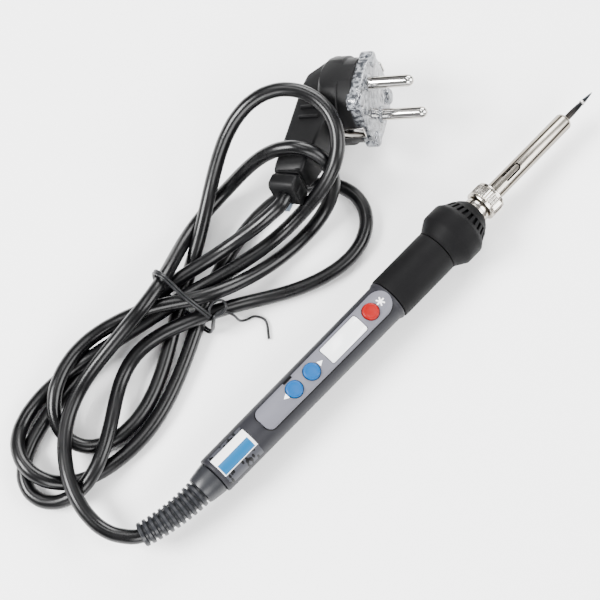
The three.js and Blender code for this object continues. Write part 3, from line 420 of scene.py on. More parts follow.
def tinned_tip(name):
    """Iron plated copper: straw and blue-black heat tint on the shank, dull tin at the point."""
    material, tree, shader = finish_named(name, linear("#6E6A66"), 0.35, Metallic=1.0)
    spot = add(tree, "ShaderNodeTexCoord")
    split = add(tree, "ShaderNodeSeparateXYZ", None, {"Vector": spot.outputs["Object"]})
    share = add(
        tree,
        "ShaderNodeMapRange",
        {"From Min": TIP_X - 16.6 * MM, "From Max": TIP_X},
        {"Value": split.outputs["X"]},
    )
    ramp = add(tree, "ShaderNodeValToRGB", None, {"Fac": share.outputs["Result"]})
    bands = [(0.0, "#2E2B29"), (0.42, "#121214"), (0.56, "#18181A"), (0.6, "#C9C6C2"),
             (0.63, "#C9C6C2"), (0.66, "#1E2024"), (1.0, "#33363B")]
    ramp.color_ramp.elements[0].color = linear(bands[0][1])
    ramp.color_ramp.elements[1].color = linear(bands[-1][1])
    for position, code in bands[1:-1]:
        ramp.color_ramp.elements.new(position).color = linear(code)
    grit = add(
        tree, "ShaderNodeTexNoise", {"Scale": 2500.0, "Detail": 3.0}, {"Vector": spot.outputs["Object"]}
    )
    relief = add(
        tree, "ShaderNodeBump", {"Strength": 0.4, "Distance": 0.01 * MM}, {"Height": grit.outputs["Fac"]}
    )
    tree.links.new(ramp.outputs["Color"], shader.inputs["Base Color"])
    tree.links.new(relief.outputs["Normal"], shader.inputs["Normal"])
    return material


def clear_polycarbonate(name):
    """Clear moulded polycarbonate: it bends light hard, so its ribs and bubbles sparkle."""
    material, tree, shader = finish_named(
        name, linear("#DADCE0"), 0.08, IOR=1.58, Transmission_Weight=0.7
    )
    spot = add(tree, "ShaderNodeTexCoord")
    ripple = add(
        tree,
        "ShaderNodeTexVoronoi",
        {"Scale": 420.0},
        {"Vector": spot.outputs["Object"]},
    )
    relief = add(
        tree,
        "ShaderNodeBump",
        {"Strength": 0.5, "Distance": 0.25 * MM},
        {"Height": ripple.outputs["Distance"]},
    )
    cloud = add(
        tree, "ShaderNodeTexNoise", {"Scale": 600.0, "Detail": 3.0}, {"Vector": spot.outputs["Object"]}
    )
    tone = add(tree, "ShaderNodeValToRGB", None, {"Fac": cloud.outputs["Fac"]})
    tone.color_ramp.elements[0].position = 0.42
    tone.color_ramp.elements[0].color = linear("#55585E")
    tone.color_ramp.elements[1].position = 0.6
    tone.color_ramp.elements[1].color = linear("#DCE0E6")
    tree.links.new(tone.outputs["Color"], shader.inputs["Base Color"])
    tree.links.new(relief.outputs["Normal"], shader.inputs["Normal"])
    return material


def printed_film(name, blue):
    """Polyester label film: white and blue bands between two rows of dark strokes."""
    material, tree, shader = finish_named(name, blue, 0.4, IOR=1.5, Specular_IOR_Level=0.25)
    spot = add(tree, "ShaderNodeTexCoord").outputs["Object"]
    split = add(tree, "ShaderNodeSeparateXYZ", None, {"Vector": spot})
    reach = {"X": (REAR_X + 1.6 * MM, REAR_X + 19.3 * MM), "Y": (-8.0 * MM, 8.0 * MM)}
    share = {
        axis: add(
            tree, "ShaderNodeMapRange", {"From Min": low, "From Max": high}, {"Value": split.outputs[axis]}
        ).outputs["Result"]
        for axis, (low, high) in reach.items()
    }
    strokes = add(tree, "ShaderNodeTexVoronoi", {"Scale": 1.0}, {"Vector": add(
        tree, "ShaderNodeMapping", {"Scale": (700, 520, 0)}, {"Vector": spot}
    ).outputs["Vector"]})
    # what each part of the printing is worked out from, and the colours it steps through
    steps = {
        "bands": (share["Y"], ((0, "#2A2B2E"), (0.225, "#E8E8E8"), (0.74, "#2A2B2E"))),
        "block_ends": (share["X"], ((0, "#000000"), (0.04, "#FFFFFF"), (0.93, "#000000"))),
        "block_sides": (share["Y"], ((0, "#000000"), (0.24, "#FFFFFF"), (0.52, "#000000"))),
        "strokes": (strokes.outputs["Distance"], ((0, "#050506"), (0.42, "#3A3B40"))),
        "margins": (share["Y"], ((0, "#FFFFFF"), (0.225, "#000000"), (0.74, "#FFFFFF"))),
    }
    inks = {}
    for part, (value, stops) in steps.items():
        node = add(tree, "ShaderNodeValToRGB", None, {"Fac": value})
        ramp = node.color_ramp
        ramp.interpolation = "CONSTANT"
        ramp.elements[0].color = linear(stops[0][1])
        ramp.elements[1].position = stops[1][0]
        ramp.elements[1].color = linear(stops[1][1])
        for position, code in stops[2:]:
            ramp.elements.new(position).color = linear(code)
        inks[part] = node.outputs["Color"]
    block_ink = add(
        tree, "ShaderNodeMix", {"data_type": "RGBA", 6: linear("#D8D8D8"), 7: blue},
        {0: inks["block_ends"]},
    )
    printed = add(
        tree, "ShaderNodeMix", {"data_type": "RGBA"},
        {0: inks["block_sides"], 6: inks["bands"], 7: block_ink.outputs[2]},
    )
    film = add(
        tree, "ShaderNodeMix", {"data_type": "RGBA"},
        {0: inks["margins"], 6: printed.outputs[2], 7: inks["strokes"]},
    )
    fibre = add(tree, "ShaderNodeTexNoise", {"Scale": 1500.0}, {"Vector": spot})
    gloss = add(
        tree, "ShaderNodeMapRange", {"To Min": 0.26, "To Max": 0.38}, {"Value": fibre.outputs["Fac"]}
    )
    tree.links.new(film.outputs[2], shader.inputs["Base Color"])
    tree.links.new(gloss.outputs["Result"], shader.inputs["Roughness"])
    return material


# ---------------------------------------------------------------- the lead's line
# The lead as it lies, in millimetres: out of the strain relief, seven runs through the tie, to the plug.
LEAD_LINE = [
    # out of the boot and up the outer edge to the tie
    (-152.4, 8.4, 10.2), (-154.5, 15.5, 9.8), (-154.6, 25, 10.6), (-151.4, 36.5, 13), (-142, 50.5, 10.5),
    (-132, 58.5, 10), (-118.5, 63.5, 11), (-105.5, 64, 15.5), (-92.5, 64.5, 19.5), (-80, 65, 22),
    (-69.5, 68, 19),
    # round the plug's handle and back to the tie
    (-58, 73.5, 11.5), (-46.5, 78.5, 5), (-34, 81, 3.1), (-22, 79.5, 9), (-12.5, 77, 20),
    (-5.5, 73, 29), (0.5, 67.5, 35.2), (5, 60, 37), (8, 51.7, 31.4), (6.6, 46.6, 20.5),
    (2, 45, 12), (-4, 44, 6.3), (-14, 44, 3.5), (-31.5, 45, 5), (-47, 47.5, 10.8),
    (-56.5, 49.5, 15),
    # the short inner loop at the strain relief's side
    (-64.5, 53, 16), (-73, 59.5, 16), (-80.5, 65.5, 15.6), (-90, 69.5, 13), (-99.5, 74, 10),
    (-110.5, 75, 10), (-121, 73, 10.5), (-131, 68.5, 9.5), (-136.5, 63, 8.5), (-139.5, 56, 4),
    (-139, 49, 3.1), (-135.5, 43.5, 3.1), (-129, 40, 3.1), (-119, 38.5, 3.1), (-109, 39.5, 3.1),
    (-98.5, 43.5, 3.1), (-89, 48.5, 3.1), (-79.5, 54, 3.4), (-70.5, 60, 4.1),
    # over the plug's back and down again
    (-61, 65, 3.6), (-53.5, 69, 5), (-45.5, 72.5, 8.5), (-36, 78.5, 10.5), (-25, 84.5, 17),
    (-12.5, 90, 27), (-2, 91.5, 34), (7, 90, 38.5), (14, 86, 40), (19, 80.5, 40.5),
    (21.5, 74, 40), (22.3, 66.5, 39.8), (20, 59.5, 39), (16, 53.5, 38), (11, 49.3, 36.5),
    (5, 47, 32.5), (-2, 46.8, 26), (-9.5, 48.2, 18.5), (-17.5, 49.3, 12.3), (-26, 50.5, 9),
    (-34, 52, 9), (-43, 53.5, 9.5),
    # the widest loop
    (-51, 55, 9.6), (-59.5, 58, 10), (-67.5, 60, 10), (-76, 61.5, 9.8), (-87, 64, 9.5),
    (-99.5, 66.5, 9.5), (-108, 68.5, 9), (-116, 71, 6.5), (-124.5, 73.5, 3.4), (-134.5, 73.5, 3.1),
    (-145, 71.5, 3.6), (-153.5, 67, 6), (-158, 58, 9), (-158.5, 50.5, 9.5), (-155.5, 44.5, 7),
    (-150, 39.5, 3.3), (-143, 35.5, 3.1), (-131, 33, 3.1), (-118, 32, 3.1), (-105, 34.5, 3.1),
    (-92, 39, 3.1), (-80, 44.5, 3.5), (-70.5, 49, 4.5),
    # the lowest loop, beside the iron
    (-63, 53, 4.1), (-49.5, 59, 3.1), (-35.5, 62.5, 3.1), (-21.5, 64.5, 3.1), (-10, 64, 3.1),
    (-0.5, 61.5, 3.1), (7, 57, 3.1), (12.5, 51, 3.1), (15, 43, 3.1), (13.5, 35, 3.1),
    (7.5, 28.5, 3.1), (-2, 24.5, 3.1), (-13, 24.5, 3.1), (-25.5, 28, 3.1), (-37.5, 33.5, 3.1),
    (-48.5, 40.5, 4.5), (-57.5, 44.5, 8.3),
    # the last loop at the strain relief's side
    (-65.5, 48, 10), (-74.5, 52, 9.8), (-85.5, 56.5, 9.4), (-96, 58.5, 7), (-106, 56, 5),
    (-115, 50, 7), (-123, 43.5, 9.5), (-131.5, 38.5, 9.5), (-139, 35, 10), (-147, 33, 8.5),
    (-154.5, 35, 3.8), (-161, 38.5, 3.1), (-164.5, 44.5, 3.1), (-164, 51.5, 3.1), (-159.5, 58, 3.1),
    (-152, 61.5, 3.1), (-144, 64, 3.1), (-137.5, 66, 3.1), (-129, 67, 3.1), (-117, 67.5, 3.1),
    (-102, 68.5, 3.1), (-88, 69, 3.4), (-76.5, 69.5, 6.5),
    # out of the tie and up to the plug
    (-69.5, 68.5, 9), (-62.5, 66.5, 9.5), (-54.5, 65, 9.5), (-46.5, 62.5, 10.5), (-38, 60, 14),
    (-29.5, 57, 20.5),
]


def bent(point):
    """Where a point of the straight strain relief goes, in the iron's own millimetres."""
    behind = -(point.x + BOOT_GAP + BOOT_COLLAR)
    if behind <= 0:
        return point
    angle = min(behind, BOOT_FLEX) / BOOT_BEND_RADIUS
    beyond = max(behind - BOOT_FLEX, 0)
    sideways = point.y * BOOT_SIDE.y + point.z * BOOT_SIDE.z
    reach = BOOT_BEND_RADIUS - sideways
    across = Vector((0, point.y, point.z)) - BOOT_SIDE * sideways
    moved = Vector((-BOOT_GAP - BOOT_COLLAR, 0, 0))
    moved.x -= reach * math.sin(angle) + beyond * math.cos(angle)
    moved += BOOT_SIDE * (BOOT_BEND_RADIUS - reach * math.cos(angle) + beyond * math.sin(angle))
    return moved + across


def boot_point(x):
    """A point of the strain relief's centre line, in metres."""
    return bent(Vector((x, 0, 0))) * MM + along(0)


def plug_frame():
    """The plug's place and turn, from its own millimetres to the row's metres."""
    turn = math.acos(-math.tan(PLUG_PIN_RISE) * math.tan(PLUG_CORD_RISE))

    def way(heading, rise):
        return Vector((
            math.cos(rise) * math.cos(heading),
            math.cos(rise) * math.sin(heading),
            math.sin(rise),
        ))

    cord_way = way(PLUG_HEADING, PLUG_CORD_RISE)
    pin_way = way(PLUG_HEADING + turn, PLUG_PIN_RISE)
    row_way = pin_way.cross(cord_way)
    turned_axes = Matrix((cord_way, row_way, pin_way)).transposed().to_4x4()
    return Matrix.Translation(PLUG_FACE * MM) @ turned_axes


def neck_frame():
    """The plug's leaning handle: x runs along it to the lead, z is the side the pins are on."""
    return (
        plug_frame()
        @ Matrix.Translation(Vector((0, 0, PLUG_NECK_Z)) * MM)
        @ Matrix.Rotation(PLUG_TILT, 4, "Y")
    )


def evenly(points, spacing):
    """The same line with its points an even distance apart."""
    reach = [0.0]
    for a, b in zip(points, points[1:]):
        reach.append(reach[-1] + (b - a).length)
    count = round(reach[-1] / spacing)
    spread, k = [], 0
    for i in range(count + 1):
        goal = reach[-1] * i / count
        while k < len(points) - 2 and reach[k + 1] < goal:
            k += 1
        share = (goal - reach[k]) / (reach[k + 1] - reach[k])
        spread.append(points[k].lerp(points[k + 1], share))
    return spread


def catmull_rom(points, parts):
    """A smooth line through the points, with each gap in that many parts."""
    line = []
    ends = [points[0] * 2 - points[1]] + points + [points[-1] * 2 - points[-2]]
    for a, b, c, d in zip(ends, ends[1:], ends[2:], ends[3:]):
        for i in range(parts):
            t = i / parts
            line.append(0.5 * (
                2 * b + (c - a) * t + (2 * a - 5 * b + 4 * c - d) * t ** 2
                + (3 * b - a - 3 * c + d) * t ** 3
            ))
    return line + [points[-1]]


def relaxed(points, rounds):
    """Lets the line ease out its small kinks, as a stiff sheath does; both ends keep their way."""
    line = list(points)
    for _ in range(rounds):
        eased = [
            0.25 * a + 0.5 * b + 0.25 * c for a, b, c in zip(line, line[1:], line[2:])
        ]
        line = line[:2] + eased[1:-1] + line[-2:]
    return line


def lead_line(spacing):
    start = [boot_point(-BOOT_GAP - BOOT_COLLAR - BOOT_FLEX + x) for x in (8, 2, -2.5)]
    lying = [Vector(p) * MM for p in LEAD_LINE]
    neck = neck_frame()
    finish = [neck @ (Vector((PLUG_REACH + x, 0, 0)) * MM) for x in (8, 0.3, -5)]
    through = catmull_rom(start + lying + finish, 6)
    return relaxed(evenly(through, spacing), 2)


def curve_piece(name, lines, radius, material, body, replaced=(), closed=False):
    """A round wire or lead that follows one or more smooth lines."""
    curve = bpy.data.curves.new(name, "CURVE")
    curve.dimensions = "3D"
    curve.bevel_depth = radius
    curve.bevel_resolution = 6
    curve.use_fill_caps = True
    curve.resolution_u = 4
    for line in lines:
        spline = curve.splines.new("BEZIER")
        spline.bezier_points.add(len(line) - 1)
        spline.use_cyclic_u = closed
        for knot, point in zip(spline.bezier_points, line):
            knot.co = point
            knot.handle_left_type = knot.handle_right_type = "AUTO"
    curve.materials.append(material)
    made = bpy.data.objects.new(name, curve)
    bpy.context.scene.collection.objects.link(made)
    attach(made, body)
    if replaced:
        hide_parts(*replaced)
    return made


# ---------------------------------------------------------------- operators
class IRON_OT_stage(bpy.types.Operator):
    """The pale floor, the soft lights and the camera"""

    bl_idname = "iron.stage"
    bl_label = "Stage"

    def execute(self, context):
        settings = context.scene.iron_stage
        self.floor(settings)
        self.lights()
        self.camera(context, settings)
        return {"FINISHED"}

    def floor(self, settings):
        bm = bmesh.new()
        bmesh.ops.create_grid(bm, x_segments=1, y_segments=1, size=3)
        mesh = bpy.data.meshes.new("floor")
        bm.to_mesh(mesh)
        bm.free()
        material = finish_named("matt_paper_floor", settings.floor[:], 0.9)[0]
        mesh.materials.append(material)
        floor = bpy.data.objects.new("floor", mesh)
        floor.location.z = -0.0002
        bpy.context.scene.collection.objects.link(floor)

    def lights(self):
        world = bpy.data.worlds.new("soft_room")
        world.use_nodes = True
        world.node_tree.nodes["Background"].inputs["Color"].default_value = (1, 1, 1, 1)
        world.node_tree.nodes["Background"].inputs["Strength"].default_value = 0.3
        bpy.context.scene.world = world
        # four softboxes stand round the object, and a long narrow one hangs over it for the gloss
        for name, place_, size, watts in (
            ("key_softbox", (-0.8, 0.6, 0.9), (0.6, 0.45), 50),
            ("fill_softbox", (0.6, -0.8, 0.8), (0.8, 0.8), 27),
            ("side_softbox", (0.95, 0.55, 0.7), (0.7, 0.7), 26),
            ("low_softbox", (-0.7, -0.8, 0.7), (0.7, 0.7), 20),
            ("top_softbox", (0.1, 0.4, 1.1), (0.25, 0.9), 7),
        ):
            data = bpy.data.lights.new(name, "AREA")
            data.shape = "RECTANGLE"
            data.size, data.size_y = size
            data.energy = watts
            light = bpy.data.objects.new(name, data)
            light.location = place_
            light.rotation_euler = (-Vector(place_)).to_track_quat("-Z", "Y").to_euler()
            bpy.context.scene.collection.objects.link(light)

    def camera(self, context, settings):
        target = Vector((-0.034, 0.027925, 0))
        a, e = settings.azimuth, settings.elevation
        back = Vector((math.sin(a) * math.cos(e), -math.cos(a) * math.cos(e), math.sin(e)))
        data = bpy.data.cameras.new("camera")
        data.lens = settings.lens
        data.sensor_width = 36
        data.clip_start = 0.01
        camera = bpy.data.objects.new("camera", data)
        camera.location = target + back * settings.distance
        camera.rotation_euler = (-back).to_track_quat("-Z", "Y").to_euler()
        bpy.context.scene.collection.objects.link(camera)
        context.scene.camera = camera


class IRON_OT_lead(bpy.types.Operator):
    """The mains lead, bundled as it lies"""

    bl_idname = "iron.lead"
    bl_label = "Mains lead"

    def execute(self, context):
        sizes, colours = context.scene.iron_cord, context.scene.iron_colours
        line = lead_line(sizes.spacing)
        sheath = extruded_pvc("extruded_pvc_sheath", colours.sheath[:])
        curve_piece(
            "mains_lead", [line], sizes.diameter / 2, sheath, "iron", ("cord", "cord_inner")
        )
        run = sum((b - a).length for a, b in zip(line, line[1:]))
        context.scene["lead_length"] = run
        return {"FINISHED"}


class IRON_OT_tie(bpy.types.Operator):
    """The coated wire that ties the bundle"""

    bl_idname = "iron.tie"
    bl_label = "Tie"

    def execute(self, context):
        sizes = context.scene.iron_cord
        wire = sizes.tie / 2
        coat = extruded_pvc("pvc_coated_wire", linear("#0E0F11"), (0.3, 0.42))
        loop = [
            (-67, 45.4, 13.6), (-68.4, 50.8, 18), (-69.4, 57, 21), (-69.6, 62.5, 22.2),
            (-69.8, 68, 23.4), (-70, 72.4, 20), (-70, 73, 9.5), (-69.9, 70, 3.6), (-69.8, 63, 0.9),
            (-69.6, 52.5, 0.9), (-69.2, 45.4, 1), (-68.4, 43.4, 4), (-67.4, 43.6, 9.4),
            (-65.2, 44.4, 13.2), (-61.5, 43.5, 13), (-59, 40.5, 10), (-57.6, 38.5, 4),
            (-55, 37.4, 1.2), (-51.5, 36, 0.8), (-50, 31.5, 0.8), (-54.5, 25.5, 0.8),
        ]
        first = [Vector(p) * MM for p in loop]
        second = [p + Vector((1.05, 0.15, 0.12)) * MM for p in first[:15]]
        knot = [
            (-66.5, 45.8, 13.8), (-64.5, 47.6, 15), (-61, 48, 15.4), (-58.6, 46.2, 15),
            (-59.4, 43.6, 14.2), (-62.4, 43, 13.8), (-65.2, 44, 13.6),
        ]
        eye = [Vector(p) * MM for p in knot]
        lines = [catmull_rom(points, 3) for points in (first, second, eye)]
        curve_piece("wire_tie", lines, wire, coat, "iron", ("cord_tie",))
        return {"FINISHED"}


class IRON_OT_strain_relief(bpy.types.Operator):
    """The ribbed boot where the lead leaves the handle"""

    bl_idname = "iron.strain_relief"
    bl_label = "Strain relief"

    def execute(self, context):
        bore = 3.05
        profile = [(1, bore), (1, 5.2), (-BOOT_GAP, 5.2), (-BOOT_GAP, 6.75), (-0.6, 7.0),
                   (-3.8, 6.6), (-7.2, 6.05), (-7.9, 5.7)]
        for i in range(BOOT_RIBS):
            share = i / (BOOT_RIBS - 1)
            start = -BOOT_GAP - BOOT_COLLAR - i * BOOT_PITCH
            core, rib = 4.3 - 0.5 * share, 5.6 - 0.7 * share
            profile += [
                (start - 0.15, core), (start - 0.85, core), (start - 1.0, rib - 0.25),
                (start - 1.2, rib), (start - 2.15, rib), (start - 2.4, rib - 0.25),
            ]
        end = -BOOT_GAP - BOOT_COLLAR - BOOT_FLEX
        profile += [(end, 4.6), (end, bore)]
        bm = turned(profile, 64)
        for vert in bm.verts:
            local = (vert.co - along(0)) / MM
            vert.co = bent(local) * MM + along(0)
        boot = extruded_pvc(
            "moulded_pvc_boot", context.scene.iron_colours.boot[:], (0.3, 0.42)
        )
        piece(bm, "ribbed_boot", boot, "iron", ("strain_relief_boot",))
        return {"FINISHED"}


class IRON_OT_handle(bpy.types.Operator):
    """The handle shell and the label on it"""

    bl_idname = "iron.handle"
    bl_label = "Handle"

    def execute(self, context):
        colours = context.scene.iron_colours
        shell = moulded_abs("moulded_abs_shell", colours.shell[:])
        profile = [
            (0, 5.4), (0, 7.35), (0.15, 7.65), (0.5, 7.86), (1.1, 7.91), (50, 8.14), (94.9, 8.35),
            (95.4, 8.48), (96.0, 8.8), (96.5, 8.94), (97, 8.95), (97.25, 8.8), (97.3, 8.6),
            (97.3, 7.1), (94, 6.5), (2, 6.3),
        ]
        piece(turned(profile, 128), "handle_shell_skin", shell, "iron", ("handle_shell",))
        self.label(colours)
        return {"FINISHED"}

    def label(self, colours):
        """A film wrapped over the top of the handle's rear end."""
        film = printed_film("printed_polyester_film", colours.label_blue[:])
        start, end = math.radians(-68), math.radians(42)
        bm = bmesh.new()
        edges = outline_edges(bm, [along(1.9, 8.04, start), along(19.2, 8.12, start)], False)
        bmesh.ops.spin(
            bm, geom=edges + list(bm.verts), cent=along(0), axis=(1, 0, 0),
            angle=-(end - start), steps=40,
        )
        bmesh.ops.recalc_face_normals(bm, faces=bm.faces)
        if sum((f.normal.z for f in bm.faces)) < 0:
            bmesh.ops.reverse_faces(bm, faces=bm.faces)
        bmesh.ops.solidify(bm, geom=list(bm.faces), thickness=0.1 * MM)
        piece(bm, "rating_film", film, "iron", ("rating_label",))


class IRON_OT_panel(bpy.types.Operator):
    """The control panel, its display window and its printed signs"""

    bl_idname = "iron.panel"
    bl_label = "Control panel"

    def execute(self, context):
        colours, sizes = context.scene.iron_colours, context.scene.iron_sizes
        panel = moulded_abs("lacquered_abs_panel", colours.panel[:], 0.3, (0.36, 0.46))
        bm = copy_of_node("control_panel")
        round_edges(bm, sizes.edge * 0.8)
        piece(bm, "panel_skin", panel, "iron", ("control_panel",))
        window = self.window_finish()
        pane = copy_of_node("display_window")
        round_edges(pane, 0.12 * MM)
        piece(pane, "window_pane", window, "iron", ("display_window",))
        # painted shadow round the panel and in its prising slot
        self.seam()
        self.signs()
        return {"FINISHED"}

    def seam(self):
        """Painted shadow: a near-black ribbon laid on the shell round the panel where its shadow line
        falls, and a near-black patch where the slot for prising it out lies in shade.
        """
        # painted shadow: a near-black sheet put where there is only shade
        shadow_paint = moulded_abs("painted_shadow_abs", linear("#020203"))
        bm = bmesh.new()
        for margin in (-0.2, 0.5):
            outline_edges(bm, [self.on_shell(x, y) for x, y in self.rim(margin)])
        bmesh.ops.bridge_loops(bm, edges=list(bm.edges))
        bmesh.ops.recalc_face_normals(bm, faces=bm.faces)
        bmesh.ops.solidify(bm, geom=list(bm.faces), thickness=0.06 * MM)
        piece(bm, "panel_painted_shadow", shadow_paint, "iron")
        # painted shadow: a dark patch on the panel for the shade in the prising slot
        self.sign("pry_slot_painted_shadow", [[(-2.2, 4.0), (2.2, 4.0), (2.2, 4.8), (-2.2, 4.8)]], 44.6, shadow_paint)

    def window_finish(self):
        """Acrylic over a pale liquid crystal cell: glossy, with a faint grey-green depth."""
        material, tree, shader = finish_named(
            "acrylic_over_display", linear("#EEEFF1"), 0.12, IOR=1.49, Coat_Weight=0.6
        )
        spot = add(tree, "ShaderNodeTexCoord")
        cloud = add(
            tree, "ShaderNodeTexNoise", {"Scale": 60.0, "Detail": 1.0}, {"Vector": spot.outputs["Object"]}
        )
        tone = add(
            tree,
            "ShaderNodeMix",
            {"data_type": "RGBA", 6: linear("#DDE0E0"), 7: linear("#F6F7F8")},
            {0: cloud.outputs["Fac"]},
        )
        tree.links.new(tone.outputs[2], shader.inputs["Base Color"])
        return material

    def on_shell(self, station, across):
        """The point of the shell's top at this station, raised by a hair."""
        radius = SHELL_REAR_RADIUS + SHELL_FLARE * station / SHELL_END + 0.08
        return along(0) + Vector((station, across, math.sqrt(radius ** 2 - across ** 2))) * MM

    def rim(self, margin):
        """The panel's outline in millimetres, pushed outwards by the margin."""
        low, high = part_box("control_panel")
        start, end = (low.x - REAR_X) / MM, (high.x - REAR_X) / MM
        front = (high.y - low.y) / 2 / MM
        front_centre, rear_centre = end - front, start + PANEL_CORNER
        rear, corner = PANEL_REAR_HALF + margin, PANEL_CORNER + margin
        front += margin
        side = []
        for i in range(13):
            turn = math.pi * i / 24
            side.append((front_centre + front * math.cos(turn), front * math.sin(turn)))
        for i in range(1, 20):
            share = i / 20
            side.append((
                front_centre + (rear_centre - front_centre) * share, front + (rear - front) * share
            ))
        for i in range(7):
            turn = math.pi * (0.5 + i / 12)
            side.append((
                rear_centre + corner * math.cos(turn), rear - corner + corner * math.sin(turn)
            ))
        return side + [(x, -y) for x, y in reversed(side[1:])]

    def signs(self):
        ink, tree, shader = finish_named("white_screen_ink", linear("#F2F2F2"), 0.5, IOR=1.5)
        grained(tree, shader, 0.2, 0.005, linear("#F2F2F2"), 0.03, (0.45, 0.6))
        triangle = [(-1.05, -1.15), (-1.05, 1.15), (1.05, 0)]
        self.sign("sign_down", [[(-x, y) for x, y in triangle]], 39.1, ink)
        self.sign("sign_up", [triangle], 58.4, ink)
        bar = [(-1.8, -0.28), (1.8, -0.28), (1.8, 0.28), (-1.8, 0.28)]
        rays = []
        for turn in (0, 60, 120):
            c, s = math.cos(math.radians(turn)), math.sin(math.radians(turn))
            rays.append([(x * c - y * s, x * s + y * c) for x, y in bar])
        self.sign("sign_heat", rays, 92.1, ink)

    def sign(self, name, shapes, station, ink):
        """Ink printed on the panel's crowned top; it also lays the painted shadow patch of the prising
        slot.
        """
        crown = (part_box("control_panel")[1].z - AXIS_Z) / MM
        parts = [slab(points, 0, 0.12) for points in shapes]
        bm = merged(*parts)
        for vert in bm.verts:
            x, y, z = vert.co
            height = math.sqrt((crown * MM) ** 2 - y ** 2) + 0.02 * MM
            vert.co = (REAR_X + station * MM + x, y, AXIS_Z + height + z)
        piece(bm, name, ink, "iron")


class IRON_OT_keys(bpy.types.Operator):
    """The two blue keys and the red key"""

    bl_idname = "iron.keys"
    bl_label = "Keys"

    def execute(self, context):
        colours, sizes = context.scene.iron_colours, context.scene.iron_sizes
        blue = moulded_abs("moulded_abs_blue_key", colours.key_blue[:], 0.3, (0.3, 0.4))
        red = moulded_abs("moulded_abs_red_key", colours.key_red[:], 0.3, (0.3, 0.4))
        for name, material, slot in (
            ("down", blue, "blue_button"),
            ("up", blue, "blue_button"),
            ("red", red, "red_button"),
        ):
            low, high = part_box(f"{name}_button")
            centre = (low + high) / 2
            radius = sizes.key_radius
            base, top = low.z, high.z
            profile = [
                (0, base), (radius, base), (radius, top - 0.75 * MM),
                (radius - 0.12 * MM, top - 0.45 * MM), (radius - 0.4 * MM, top - 0.2 * MM),
                (radius - 0.9 * MM, top - 0.1 * MM), (radius - 1.2 * MM, top - 0.22 * MM),
                (radius * 0.4, top - 0.3 * MM), (0, top - 0.32 * MM),
            ]
            points = [Vector((centre.x + r, centre.y, z)) for r, z in profile]
            bm = spun(points, (centre.x, centre.y, 0), (0, 0, 1), 72, False)
            piece(bm, f"{name}_key_cap", material, f"{name}_key", (f"{name}_button",))
        return {"FINISHED"}


class IRON_OT_grip(bpy.types.Operator):
    """The soft grip and the flared heat collar with its ring of slots"""

    bl_idname = "iron.grip"
    bl_label = "Grip and heat collar"

    def execute(self, context):
        colours, sizes = context.scene.iron_colours, context.scene.iron_sizes
        rubber = soft_grip("overmoulded_rubber_grip", colours.grip[:])
        profile = [
            (GRIP_START, 7.2), (GRIP_START, 8.9), (GRIP_START + 0.15, 9.15), (GRIP_START + 0.6, 9.3),
            (111, 9.33), (GRIP_END - 1.0, 9.32), (GRIP_END - 0.45, 9.15), (GRIP_END - 0.3, 8.9),
            (GRIP_END - 0.3, 7.2),
        ]
        piece(turned(profile, 96), "grip_skin", rubber, "iron", ("grip_sleeve",))
        self.collar(colours, sizes)
        return {"FINISHED"}

    def collar(self, colours, sizes):
        nylon = soft_grip("glass_filled_nylon_collar", colours.collar[:])
        start, steps = GRIP_END, sizes.slots * 6
        profile = [
            (start, 7.3), (start, 9.1), (start + 0.25, 9.35), (start + 0.9, 9.45),
            (start + 1.6, 9.8), (start + 3.4, 10.9), (start + 5, 11.85), (start + 5.8, 12.28),
            (start + 6.6, 12.4), (start + 12.4, 12.4), (start + 13.2, 12.25), (start + 13.8, 11.85),
            (start + 14.9, 11.05), (start + 15.4, 10.7), (start + 18.3, 9.35), (start + 18.7, 9.15),
            (start + 19, 8.7), (start + 20.4, 8.0), (start + 21.4, 7.1), (start + 22, 6.5),
            (COLLAR_END, 6.1), (COLLAR_END, 5.6), (COLLAR_END - 3, 5.6), (COLLAR_END - 3, 7.3),
        ]
        bm = turned(profile, steps)
        inner, outer = start + 14.4, start + 18.4
        cells = []
        for face in bm.faces:
            middle = face.calc_center_median() - along(0)
            station = middle.x / MM
            if not inner + 0.4 < station < outer:
                continue
            if math.hypot(middle.y, middle.z) / MM < 8.6:
                continue
            turn = math.atan2(middle.y, middle.z) % FULL_TURN
            if int(turn / FULL_TURN * steps) % 6 in (0, 1, 2):
                cells.append(face)
        grown = bmesh.ops.extrude_face_region(bm, geom=cells)
        for vert in (v for v in grown["geom"] if isinstance(v, bmesh.types.BMVert)):
            across = Vector((0, vert.co.y, vert.co.z - AXIS_Z))
            vert.co -= across.normalized() * 1.3 * MM
        bmesh.ops.delete(bm, geom=cells, context="FACES_ONLY")
        bmesh.ops.recalc_face_normals(bm, faces=bm.faces)
        piece(bm, "heat_collar_skin", nylon, "iron", ("heat_collar",), math.radians(30))


